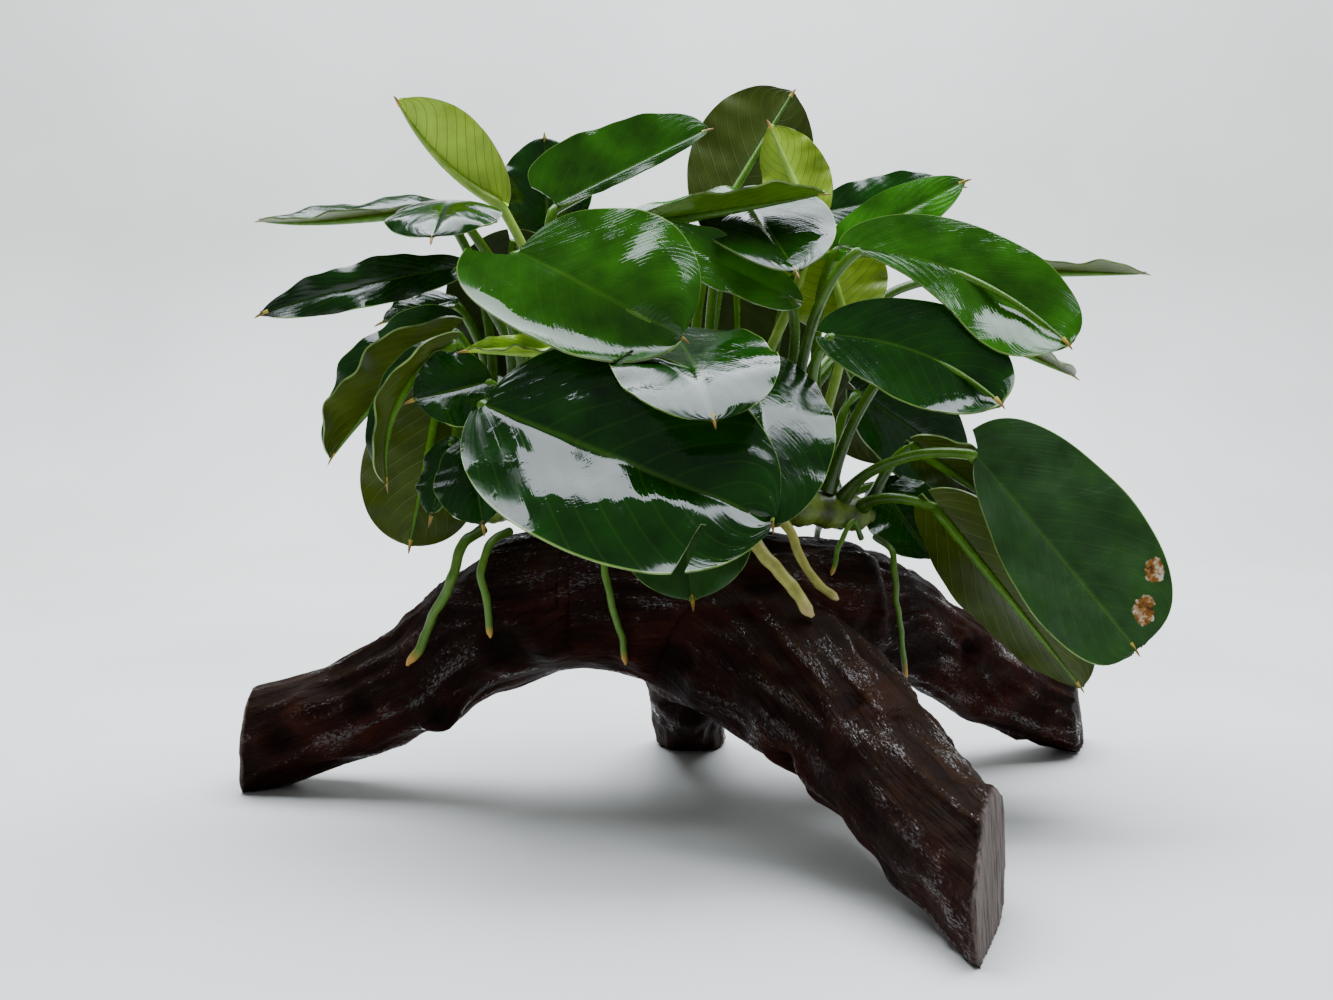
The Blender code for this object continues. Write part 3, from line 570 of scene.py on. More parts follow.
def relief(row, surface, stations, sides, seed):
    """Height of the fine relief over the blade: waves, quilting between veins, groove and bumps."""
    length = np.linalg.norm(np.subtract(row["tip"], row["base"]))
    reach = np.abs(sides)[None, :]
    side = np.sign(sides)[None, :]
    t = stations[:, None]
    width = np.array([blade_half_width(row, s) for s in stations])[:, None]
    height, count = row["ripple"]
    wave = np.sin(2 * math.pi * (count * t + 0.21 * side + seed)) + 0.4 * np.sin(
        2 * math.pi * (2.3 * count * t + 0.4 * side + 2.1 * seed))
    total = height * reach ** 2.2 * wave * np.sin(math.pi * t) ** 0.5
    phase = (t - VEIN_SLANT * reach ** 1.2) * VEINS
    total = total - row["quilt"] * np.cos(2 * math.pi * phase) * 4 * reach * (1 - reach)
    total = total - GROOVE_DEPTH * np.exp(-(reach * width / GROOVE_WIDTH) ** 2)
    lumps = noise_at(surface.reshape(-1, 3), SOFT_LUMP_SIZE, seed * 7).reshape(surface.shape[:2])
    total = total + row["lumps"] * lumps * np.minimum(1, 3 * reach)
    edge = np.clip((reach - 0.74) / 0.26, 0, 1) ** 2 * np.where(sides < 0, row["rim"][0], row["rim"][1])[None, :]
    total = total + edge * np.sin(math.pi * t) ** 0.5
    for place, at, lift, radius in row["dents"]:
        lengthwise = (t - place) * length
        sideways = (sides[None, :] - at) * blade_half_width(row, place)
        total = total + lift * np.exp(-(lengthwise ** 2 + sideways ** 2) / radius ** 2)
    return total


def dead_patches(row, stations, sides, length):
    """How dead the blade is at each point, from 0 to 1."""
    dead = np.zeros((len(stations), len(sides)))
    for place, at, radius in row["scars"]:
        lengthwise = (stations[:, None] - place) * length
        sideways = (sides[None, :] - at) * blade_half_width(row, place)
        dead = np.maximum(dead, np.exp(-(lengthwise ** 2 + sideways ** 2) / radius ** 2))
    return dead


def open_slit(surface, stations, sides, slit, length):
    """Pull the blade apart at a tear. Returns the faces' columns that the tear leaves out."""
    place, start, opening = slit
    i = int(np.searchsorted(stations, place))
    gone = set()
    for k, side in enumerate(sides):
        if side * start <= 0 or abs(side) < abs(start):
            continue
        part = (abs(side) - abs(start)) / (1 - abs(start))
        along = surface[i, k] - surface[i - 1, k]
        along = along / max(np.linalg.norm(along), 1e-9)
        away = (stations - 0.5 * (stations[i - 1] + stations[i])) * length
        pull = opening * 0.5 * part * np.exp(-(away / 5) ** 2) * np.sign(away)
        surface[:, k] += np.outer(pull, along)
    for k in range(len(sides) - 1):
        if sides[k] * start > 0 and min(abs(sides[k]), abs(sides[k + 1])) >= abs(start):
            gone.add((i - 1, k))
    return gone


def blade(shell, row, thickness, seed):
    """A leaf's blade: upper side, underside and the rim between them."""
    half = np.linspace(0, 1, HALF_SIDES + 1)[1:]
    half = half ** 0.92
    sides = np.concatenate((-half[::-1], (0.0,), half))
    stations = 0.5 - 0.5 * np.cos(math.pi * np.linspace(0.018, 0.985, STATIONS))
    length = np.linalg.norm(np.subtract(row["tip"], row["base"]))
    surface = blade_surface(row, stations, sides)
    lift = relief(row, surface, stations, sides, seed)
    surface = surface + surface_normals(surface) * lift[:, :, None]
    gone = set()
    for slit in row["slits"]:
        gone |= open_slit(surface, stations, sides, slit, length)
    normals = surface_normals(surface)
    columns = len(sides)
    upper = surface.reshape(-1, 3)
    lower = (surface - normals * thickness).reshape(-1, 3)
    faces = []
    for i in range(STATIONS - 1):
        for k in range(columns - 1):
            if (i, k) not in gone:
                a = i * columns + k
                faces.append((a, a + 1, a + columns + 1, a + columns))
    count = len(upper)
    edges = set()
    for face in faces:
        for a, b in zip(face, face[1:] + face[:1]):
            if (b, a) in edges:
                edges.remove((b, a))
            else:
                edges.add((a, b))
    under = [tuple(v + count for v in reversed(face)) for face in faces]
    rim = [(b, a, a + count, b + count) for a, b in sorted(edges)]
    reach = np.abs(sides)
    across_value, along_value = np.meshgrid(sides, stations)
    vein = along_value - VEIN_SLANT * np.abs(across_value) ** 1.2
    place = np.stack((across_value, along_value, vein), axis=2).reshape(-1, 3)
    slots = [0] * len(faces) + [1] * len(under) + [2] * len(rim)
    scar = dead_patches(row, stations, sides, length).ravel()
    shell.add(np.vstack((upper, lower)), faces + under + rim, slots, np.vstack((place, place)),
              np.concatenate((scar, scar)))


def leaf_piece(name, row, settings, materials, seed):
    """One leaf: its stalk, the rib under its blade, the blade and the point at its tip."""
    thickness = settings.thickness / MM
    foot_radius = settings.stalk_radius / MM
    shell = Shell()
    blade(shell, row, thickness, seed)
    midrib, stalk, face = leaf_lines(row)
    shares = np.linspace(0, 1, STALK_SAMPLES)
    line = np.array([stalk(t) for t in shares])
    wobble = np.stack([noise_at(line, 13, seed * 5 + k) for k in range(3)], axis=1)
    line = line + wobble * 0.35 * np.sin(math.pi * shares)[:, None]
    radii = foot_radius * (1 - 0.18 * shares) * (1 + 0.45 * np.exp(-(shares / 0.10) ** 2)
                                                 + 0.12 * np.exp(-((shares - 0.96) / 0.05) ** 2))
    rib_shares = np.linspace(0.0, 0.97, RIB_SAMPLES)
    rib_radii = foot_radius * 0.78 * (1 - rib_shares) ** 0.8 + 0.22
    rib = []
    for t, radius in zip(rib_shares, rib_radii):
        along, up, right = blade_axes(row, midrib, face, t)
        rib.append(midrib(t) - up * (GROOVE_DEPTH + radius + 0.05))
    tube(shell, np.vstack((line[:-1], rib)), np.concatenate((radii[:-1], rib_radii)), STALK_SIDES, 3,
         up=face, end=1.0)
    if row["spur"]:
        along, up, right = blade_axes(row, midrib, face, 0.99)
        steps = np.linspace(0, 1, 8)
        tip = midrib(0.965) - up * 0.35
        fall = np.array((0, 0, -0.25)) * row["spur"]
        spur = np.array([tip + along * (row["spur"] + 1.2) * s + fall * s ** 2 for s in steps])
        tube(shell, spur, 0.55 * (1 - steps) ** 0.7 + 0.09, 8, 4, up=up, flat=0.7)
    return shell.build(name, materials, row["tone_and_painted_light"])


# Wood shapes

def limb_coordinates(points):
    """For each limb: distance from its bark, length along it, length round it, and its direction."""
    found = {}
    for name, row in LIMBS.items():
        line = smooth_line(row, 60)
        steps = np.linalg.norm(np.diff(line[:, :3], axis=0), axis=1)
        lengths = np.concatenate(((0.0,), np.cumsum(steps)))
        gaps = np.linalg.norm(points[:, None, :] - line[None, :, :3], axis=2)
        nearest = np.argmin(gaps, axis=1)
        tangents = np.gradient(line[:, :3], axis=0)
        tangents = tangents / np.linalg.norm(tangents, axis=1, keepdims=True)
        offset = points - line[nearest, :3]
        along = tangents[nearest]
        up = np.array((0.0, 0.0, 1.0)) - along * along[:, 2:3]
        up = up / np.linalg.norm(up, axis=1, keepdims=True)
        right = np.cross(along, up)
        turn = np.arctan2(np.sum(offset * right, axis=1), np.sum(offset * up, axis=1))
        radius = line[nearest, 3]
        found[name] = (gaps[np.arange(len(points)), nearest] - radius,
                       lengths[nearest] + np.sum(offset * along, axis=1), turn, radius)
    return found


def ridges(length, turn, radius, spacing, seed):
    """Long rounded ridges and narrow furrows along a limb, between about -1 and 1."""
    ring = np.stack((length / 34, np.cos(turn) * radius / spacing, np.sin(turn) * radius / spacing), axis=1)
    broad = noise_at(ring, 1, seed)
    fine = noise_at(ring * (1.5, 2.9, 2.9), 1, seed + 5)
    cross = noise_at(ring * (6.0, 1.1, 1.1), 1, seed + 9)
    furrow = 1 - np.abs(broad) * 3.2
    return np.clip(furrow, -1, 1) * 0.6 + fine * 0.55 + cross * 0.35


def whole_wood():
    """The wood as one skin with sawn ends and flat soles, before its fine relief."""
    blank = bmesh.new()
    for row in LIMBS.values():
        shell = Shell()
        line = smooth_line(row, 24)
        tube(shell, line[:, :3], line[:, 3], 20, 0)
        item = shell.build("blank", [])
        blank.from_mesh(item.data)
        bpy.data.objects.remove(item)
    for x, y, z, radius in KNOBS:
        centre = (np.array((x, y, z)) + ORIGIN_SHIFT) * MM
        made = bmesh.ops.create_icosphere(blank, subdivisions=2, radius=radius * MM)
        bmesh.ops.translate(blank, verts=made["verts"], vec=Vector(centre))
    data = bpy.data.meshes.new("wood")
    blank.to_mesh(data)
    blank.free()
    wood = bpy.data.objects.new("wood", data)
    skin = wood.modifiers.new("skin", "REMESH")
    skin.mode = "VOXEL"
    skin.voxel_size = COARSE_VOXEL * MM
    blend = wood.modifiers.new("blend", "SMOOTH")
    blend.factor = 0.5
    blend.iterations = 6
    wood = as_mesh(wood)
    points = [vertex.co.copy() for vertex in wood.data.vertices]
    normals = [vertex.normal.copy() for vertex in wood.data.vertices]
    for vertex, point, normal in zip(wood.data.vertices, points, normals):
        at = point / MM
        lump = noise.noise(at / 16)
        ridge = 1 - abs(noise.noise(Vector((at.x / 22, at.y / 11, at.z / 7)))) * 4
        vertex.co = point + normal * (lump * LUMP_HEIGHT + ridge * RIDGE_HEIGHT * 0.5) * MM
    cut = bmesh.new()
    cut.from_mesh(wood.data)
    for point, direction in [*ENDS.values(), ((0, 0, 0), (0, 0, -1))]:
        place = Vector((np.array(point) + ORIGIN_SHIFT) * MM)
        everything = cut.verts[:] + cut.edges[:] + cut.faces[:]
        bmesh.ops.bisect_plane(cut, geom=everything, plane_co=place, plane_no=Vector(direction),
                               clear_outer=True)
        open_edges = [edge for edge in cut.edges if edge.is_boundary]
        bmesh.ops.holes_fill(cut, edges=open_edges)
    cut.to_mesh(wood.data)
    cut.free()
    fine = wood.modifiers.new("fine", "REMESH")
    fine.mode = "VOXEL"
    fine.voxel_size = FINE_VOXEL * MM
    wood = as_mesh(wood)
    return wood


def wood_piece(settings, material):
    """The driftwood with its ridges, furrows, knots and saw cuts."""
    wood = whole_wood()
    data = wood.data
    count = len(data.vertices)
    points = np.empty(count * 3)
    data.vertices.foreach_get("co", points)
    points = points.reshape(-1, 3) / MM - ORIGIN_SHIFT
    normals = np.array([vertex.normal[:] for vertex in data.vertices])
    spacing = settings.ridge_spacing / MM
    found = limb_coordinates(points)
    gaps = np.stack([values[0] for values in found.values()], axis=1)
    weights = np.exp(-(gaps - gaps.min(axis=1, keepdims=True)) / 2.5)
    weights = weights / weights.sum(axis=1, keepdims=True)
    relief_height = np.zeros(count)
    for k, values in enumerate(found.values()):
        used = weights[:, k] > 0.04
        gap, length, turn, radius = (part[used] for part in values)
        relief_height[used] += weights[used, k] * ridges(length, turn, radius, spacing, 3.1 * k)
    broad = noise_at(points, 30, 11)
    wrinkle = noise_at(points, (6, 6, 3.2), 21)
    pimple = noise_at(points, 2.6, 31)
    height = settings.ridge_height / MM
    lift = height * relief_height * (0.8 + 0.5 * broad) + 0.30 * wrinkle * (0.6 + broad) + 0.07 * pimple
    # hollow: the relief's height, sunk deeper at knot holes; the material paints shade in its low places and puts
    # the wet film on its crests.
    hollow = relief_height.copy()
    for x, y, z, radius, depth in KNOTS:
        away = np.linalg.norm(points - (x, y, z), axis=1)
        lift = lift - depth * np.exp(-(away / radius) ** 2) + 0.3 * depth * np.exp(
            -((away - 1.7 * radius) / (0.6 * radius)) ** 2)
        hollow = hollow - 2 * np.exp(-(away / radius) ** 2)
    sawn = np.zeros(count)
    for point, direction in ENDS.values():
        away = (points - point) @ unit(direction)
        near = np.linalg.norm(points - point, axis=1) < 45
        sawn = np.maximum(sawn, np.where(near, np.clip(1 + (away + 0.25) / 0.7, 0, 1), 0))
    sole = np.clip(1 - (points[:, 2] - 0.2) / 1.2, 0, 1)
    lift = lift * (1 - sawn) * (1 - sole) + sawn * 0.25 * noise_at(points, (2, 2, 9), 41)
    moved = points + normals * lift[:, None]
    moved[:, 2] = np.maximum(moved[:, 2], 0.0)
    data.vertices.foreach_set("co", ((moved + ORIGIN_SHIFT) * MM).ravel())
    nearest = np.argmin(gaps, axis=1)
    length = np.stack([values[1] for values in found.values()], axis=1)[np.arange(count), nearest]
    turn = np.stack([values[2] * values[3] for values in found.values()], axis=1)[np.arange(count), nearest]
    grain = data.attributes.new("place", "FLOAT_VECTOR", "POINT")
    grain.data.foreach_set("vector", np.stack((turn, length, nearest * 50.0), axis=1).ravel())
    for title, values in (("hollow", hollow), ("sawn", sawn)):
        painted = data.attributes.new(title, "FLOAT", "POINT")
        painted.data.foreach_set("value", values)
    data.materials.clear()
    data.materials.append(material)
    data.shade_smooth()
    data.update()
    bpy.context.scene.collection.objects.link(wood)
    wood.name = "driftwood_whole"
    return wood


# Materials

COLOUR_A, COLOUR_B, COLOUR_OUT = 6, 7, 2


def add(tree, kind, inputs=None, stops=None, **settings):
    """Add a shader node. inputs maps a socket's name or number to a value or another node's socket."""
    made = tree.nodes.new("ShaderNode" + kind)
    for name, value in settings.items():
        setattr(made, name, value)
    for key, value in (inputs or {}).items():
        if isinstance(value, bpy.types.NodeSocket):
            tree.links.new(value, made.inputs[key])
        else:
            made.inputs[key].default_value = value
    if stops:
        elements = made.color_ramp.elements
        while len(elements) > len(stops):
            elements.remove(elements[-1])
        while len(elements) < len(stops):
            elements.new(1.0)
        for element, (position, colour) in zip(elements, stops):
            element.position = position
            element.color = colour
    return made


def grey(level):
    return (level, level, level, 1)


def new_material(name, **sockets):
    """A Principled material with even sockets set, and its tree and shader."""
    made = bpy.data.materials.new(name)
    made.use_nodes = True
    shader = made.node_tree.nodes["Principled BSDF"]
    for key, value in sockets.items():
        shader.inputs[key.replace("_", " ").title().replace("Ior", "IOR")].default_value = value
    return made, made.node_tree, shader


def blade_masks(tree):
    """The place on the blade, and masks for the midrib, the veins and the margin."""
    place = add(tree, "Attribute", attribute_name="place")
    parts = add(tree, "SeparateXYZ", {0: place.outputs["Vector"]})
    reach = add(tree, "Math", {0: parts.outputs["X"]}, operation="ABSOLUTE")
    midrib = add(tree, "MapRange", {"Value": reach.outputs[0], "From Min": 0.0, "From Max": 0.045,
                                    "To Min": 1.0, "To Max": 0.0}, interpolation_type="SMOOTHSTEP")
    margin = add(tree, "MapRange", {"Value": reach.outputs[0], "From Min": 0.982, "From Max": 0.996},
                 interpolation_type="SMOOTHSTEP")
    lines = []
    for count, width in ((VEINS, 0.09), (VEINS * 4, 0.22)):
        phase = add(tree, "Math", {0: parts.outputs["Z"], 1: float(count)}, operation="MULTIPLY")
        fold = add(tree, "Math", {0: phase.outputs[0], 1: 0.5}, operation="PINGPONG")
        lines.append(add(tree, "MapRange", {"Value": fold.outputs[0], "From Min": 0.0, "From Max": width,
                                            "To Min": 1.0, "To Max": 0.0}, interpolation_type="SMOOTHSTEP"))
    return place, parts, reach, midrib, margin, lines[0], lines[1]


def with_scars(tree, spot, colour):
    """Mix ragged patches of dead brown tissue into a colour."""
    scar = add(tree, "Attribute", attribute_name="scar")
    ragged = add(tree, "TexNoise", {"Vector": spot.outputs["Object"], "Scale": 1 / (2.4 * MM), "Detail": 5.0,
                                    "Roughness": 0.7})
    both = add(tree, "Math", {0: ragged.outputs["Fac"], 1: 0.8, 2: scar.outputs["Fac"]},
               operation="MULTIPLY_ADD")
    share = add(tree, "MapRange", {"Value": both.outputs[0], "From Min": 0.82, "From Max": 0.90},
                interpolation_type="SMOOTHSTEP")
    brown = add(tree, "ValToRGB", {0: ragged.outputs["Fac"]},
                stops=((0.35, linear("3A2410")), (0.5, linear("8C5A1C")), (0.62, linear("C2BBA4"))))
    mixed = add(tree, "Mix", {0: share.outputs["Result"], COLOUR_A: colour, COLOUR_B: brown.outputs["Color"]},
                data_type="RGBA")
    return mixed.outputs[COLOUR_OUT]


def blade_upper(name, colour, vein_colour, margin_colour, bare_gloss=0.15, wet_gloss=0.05):
    """Wet upper side of a leaf: waxy cuticle under a broken film of water.

    The film gives mirror-like patches with ragged edges, and the bare cuticle between them shows
    the small veins as short streaks of light.
    """
    made, tree, shader = new_material(name, ior=1.42)
    place, parts, reach, midrib, margin, veins, fine = blade_masks(tree)
    spot = add(tree, "TexCoord")
    tone_and_painted_light = add(tree, "Attribute", attribute_name="tone_and_painted_light")
    mottle = add(tree, "TexNoise", {"Vector": spot.outputs["Object"], "Scale": 1 / (9 * MM), "Detail": 4.0})
    dark = tuple(0.62 * c for c in colour[:3]) + (1,)
    pale = tuple(min(1, 1.45 * c) for c in colour[:3]) + (1,)
    skin = add(tree, "ValToRGB", {0: mottle.outputs["Fac"]}, stops=((0.3, dark), (0.5, colour), (0.72, pale)))
    # The tone value darkens or pales the green: the leaf's own colour, and on some leaves painted shade and painted
    # light.
    toned = add(tree, "MapRange", {"Value": tone_and_painted_light.outputs["Fac"], "From Min": -1.0, "From Max": 3.0,
                                   "To Min": 0.45, "To Max": 2.65})
    shaded = add(tree, "HueSaturation", {"Color": skin.outputs["Color"], "Value": toned.outputs["Result"]})
    vein_share = add(tree, "Math", {0: veins.outputs["Result"], 1: 0.07}, operation="MULTIPLY")
    veined = add(tree, "Mix", {0: vein_share.outputs[0], COLOUR_A: shaded.outputs["Color"],
                               COLOUR_B: vein_colour}, data_type="RGBA")
    rib_share = add(tree, "Math", {0: midrib.outputs["Result"], 1: 0.25}, operation="MULTIPLY")
    ribbed = add(tree, "Mix", {0: rib_share.outputs[0], COLOUR_A: veined.outputs[COLOUR_OUT],
                               COLOUR_B: vein_colour}, data_type="RGBA")
    edged = add(tree, "Mix", {0: margin.outputs["Result"], COLOUR_A: ribbed.outputs[COLOUR_OUT],
                              COLOUR_B: margin_colour}, data_type="RGBA")
    tree.links.new(with_scars(tree, spot, edged.outputs[COLOUR_OUT]), shader.inputs["Base Color"])

    water = add(tree, "TexNoise", {"Vector": spot.outputs["Object"], "Scale": 1 / (13 * MM), "Detail": 5.0,
                                   "Roughness": 0.62, "Distortion": 0.6})
    film = add(tree, "MapRange", {"Value": water.outputs["Fac"], "From Min": 0.47, "From Max": 0.53},
               interpolation_type="SMOOTHSTEP")
    gloss = add(tree, "MapRange", {"Value": film.outputs["Result"], "To Min": bare_gloss, "To Max": wet_gloss})
    tree.links.new(gloss.outputs["Result"], shader.inputs["Roughness"])

    streak_place = add(tree, "CombineXYZ", {"X": reach.outputs[0], "Y": parts.outputs["Z"],
                                            "Z": parts.outputs["X"]})
    stretched = add(tree, "Mapping", {"Vector": streak_place.outputs[0], "Scale": (5.0, 62.0, 2.0)})
    streak = add(tree, "TexNoise", {"Vector": stretched.outputs[0], "Scale": 1.0, "Detail": 3.0})
    bare = add(tree, "Math", {0: 1.0, 1: film.outputs["Result"]}, operation="SUBTRACT")
    streaks = add(tree, "Math", {0: streak.outputs["Fac"], 1: bare.outputs[0]}, operation="MULTIPLY")
    sunk = add(tree, "Math", {0: fine.outputs["Result"], 1: -0.12}, operation="MULTIPLY")
    relief_sum = add(tree, "Math", {0: streaks.outputs[0], 1: sunk.outputs[0]}, operation="ADD")
    watered = add(tree, "Math", {0: film.outputs["Result"], 1: 0.8, 2: relief_sum.outputs[0]},
                  operation="MULTIPLY_ADD")
    bump = add(tree, "Bump", {"Height": watered.outputs[0], "Strength": 0.5, "Distance": 0.14 * MM})
    tree.links.new(bump.outputs["Normal"], shader.inputs["Normal"])
    return made


def blade_under(name, colour, vein_colour, vein_share):
    """Underside of a leaf: duller than the upper side, olive, with its veins raised."""
    made, tree, shader = new_material(name, ior=1.4)
    place, parts, reach, midrib, margin, veins, fine = blade_masks(tree)
    spot = add(tree, "TexCoord")
    mottle = add(tree, "TexNoise", {"Vector": spot.outputs["Object"], "Scale": 1 / (7 * MM), "Detail": 5.0})
    dark = tuple(0.7 * c for c in colour[:3]) + (1,)
    pale = tuple(min(1, 1.25 * c) for c in colour[:3]) + (1,)
    skin = add(tree, "ValToRGB", {0: mottle.outputs["Fac"]}, stops=((0.3, dark), (0.5, colour), (0.75, pale)))
    thin = add(tree, "Math", {0: fine.outputs["Result"], 1: 0.3}, operation="MULTIPLY")
    both = add(tree, "Math", {0: veins.outputs["Result"], 1: thin.outputs[0]}, operation="MAXIMUM")
    share = add(tree, "Math", {0: both.outputs[0], 1: vein_share}, operation="MULTIPLY")
    veined = add(tree, "Mix", {0: share.outputs[0], COLOUR_A: skin.outputs["Color"], COLOUR_B: vein_colour},
                 data_type="RGBA")
    # The tone value darkens or pales the underside: the leaf's own colour, and on some leaves painted shade and
    # painted light.
    tone_and_painted_light = add(tree, "Attribute", attribute_name="tone_and_painted_light")
    toned = add(tree, "MapRange", {"Value": tone_and_painted_light.outputs["Fac"], "From Min": -1.0, "From Max": 1.0,
                                   "To Min": 0.4, "To Max": 1.6})
    shaded = add(tree, "HueSaturation", {"Color": veined.outputs[COLOUR_OUT], "Value": toned.outputs["Result"]})
    tree.links.new(with_scars(tree, spot, shaded.outputs["Color"]), shader.inputs["Base Color"])
    rough = add(tree, "MapRange", {"Value": mottle.outputs["Fac"], "To Min": 0.22, "To Max": 0.5})
    tree.links.new(rough.outputs["Result"], shader.inputs["Roughness"])
    bump = add(tree, "Bump", {"Height": both.outputs[0], "Strength": 0.4, "Distance": 0.15 * MM})
    tree.links.new(bump.outputs["Normal"], shader.inputs["Normal"])
    return made


def stalk_skin(name, colour):
    """Leaf stalk: smooth, ribbed lengthwise, wet, and darker near the foot with painted shade."""
    made, tree, shader = new_material(name, ior=1.42)
    place = add(tree, "Attribute", attribute_name="place")
    parts = add(tree, "SeparateXYZ", {0: place.outputs["Vector"]})
    spot = add(tree, "TexCoord")
    dark = tuple(0.4 * c for c in colour[:3]) + (1,)
    pale = tuple(min(1, 1.3 * c) for c in colour[:3]) + (1,)
    # Painted shade: the stalk darkens towards its foot, deep inside the plant where shade falls.
    length = add(tree, "ValToRGB", {0: parts.outputs["Y"]},
                 stops=((0.1, dark), (0.45, colour), (0.75, pale), (1.0, colour)))
    mottle = add(tree, "TexNoise", {"Vector": spot.outputs["Object"], "Scale": 1 / (4 * MM), "Detail": 4.0})
    shade = add(tree, "MapRange", {"Value": mottle.outputs["Fac"], "To Min": 0.6, "To Max": 1.35})
    skin = add(tree, "HueSaturation", {"Color": length.outputs["Color"], "Value": shade.outputs["Result"]})
    tree.links.new(skin.outputs["Color"], shader.inputs["Base Color"])
    ribs = add(tree, "Mapping", {"Vector": place.outputs["Vector"], "Scale": (6.0, 3.0, 0.0)})
    fibre = add(tree, "TexNoise", {"Vector": ribs.outputs[0], "Scale": 1.0, "Detail": 2.0})
    rough = add(tree, "MapRange", {"Value": mottle.outputs["Fac"], "To Min": 0.12, "To Max": 0.4})
    tree.links.new(rough.outputs["Result"], shader.inputs["Roughness"])
    bump = add(tree, "Bump", {"Height": fibre.outputs["Fac"], "Strength": 0.5, "Distance": 0.2 * MM})
    tree.links.new(bump.outputs["Normal"], shader.inputs["Normal"])
    return made


def dry_point(name, inner, outer):
    """Point at the tip of a leaf, where the tissue dries to yellow and brown."""
    made, tree, shader = new_material(name, ior=1.4, roughness=0.4)
    place = add(tree, "Attribute", attribute_name="place")
    parts = add(tree, "SeparateXYZ", {0: place.outputs["Vector"]})
    fade = add(tree, "ValToRGB", {0: parts.outputs["Y"]}, stops=((0.1, inner), (0.9, outer)))
    tree.links.new(fade.outputs["Color"], shader.inputs["Base Color"])
    return made


def leaf_rim(name, colour):
    """Cut edge of a blade, without green tissue, so that it shows as a thin pale line."""
    made, tree, shader = new_material(name, ior=1.4, roughness=0.3)
    spot = add(tree, "TexCoord")
    patch = add(tree, "TexNoise", {"Vector": spot.outputs["Object"], "Scale": 1 / (5 * MM), "Detail": 3.0})
    dull = tuple(0.35 * c for c in colour[:3]) + (1,)
    edge = add(tree, "ValToRGB", {0: patch.outputs["Fac"]}, stops=((0.35, dull), (0.6, colour)))
    tree.links.new(edge.outputs["Color"], shader.inputs["Base Color"])
    return made


def root_skin(name, colour, tip_colour):
    """Root: matt outer tissue that takes up water, with a growing tip of another colour."""
    made, tree, shader = new_material(name, ior=1.4)
    place = add(tree, "Attribute", attribute_name="place")
    parts = add(tree, "SeparateXYZ", {0: place.outputs["Vector"]})
    spot = add(tree, "TexCoord")
    dark = tuple(0.5 * c for c in colour[:3]) + (1,)
    length = add(tree, "ValToRGB", {0: parts.outputs["Y"]},
                 stops=((0.0, dark), (0.3, colour), (0.88, colour), (0.96, tip_colour)))
    mottle = add(tree, "TexNoise", {"Vector": spot.outputs["Object"], "Scale": 1 / (2.5 * MM), "Detail": 5.0})
    shade = add(tree, "MapRange", {"Value": mottle.outputs["Fac"], "To Min": 0.5, "To Max": 1.5})
    skin = add(tree, "HueSaturation", {"Color": length.outputs["Color"], "Value": shade.outputs["Result"]})
    tree.links.new(skin.outputs["Color"], shader.inputs["Base Color"])
    rough = add(tree, "MapRange", {"Value": mottle.outputs["Fac"], "To Min": 0.25, "To Max": 0.6})
    tree.links.new(rough.outputs["Result"], shader.inputs["Roughness"])
    bump = add(tree, "Bump", {"Height": mottle.outputs["Fac"], "Strength": 0.6, "Distance": 0.3 * MM})
    tree.links.new(bump.outputs["Normal"], shader.inputs["Normal"])
    return made


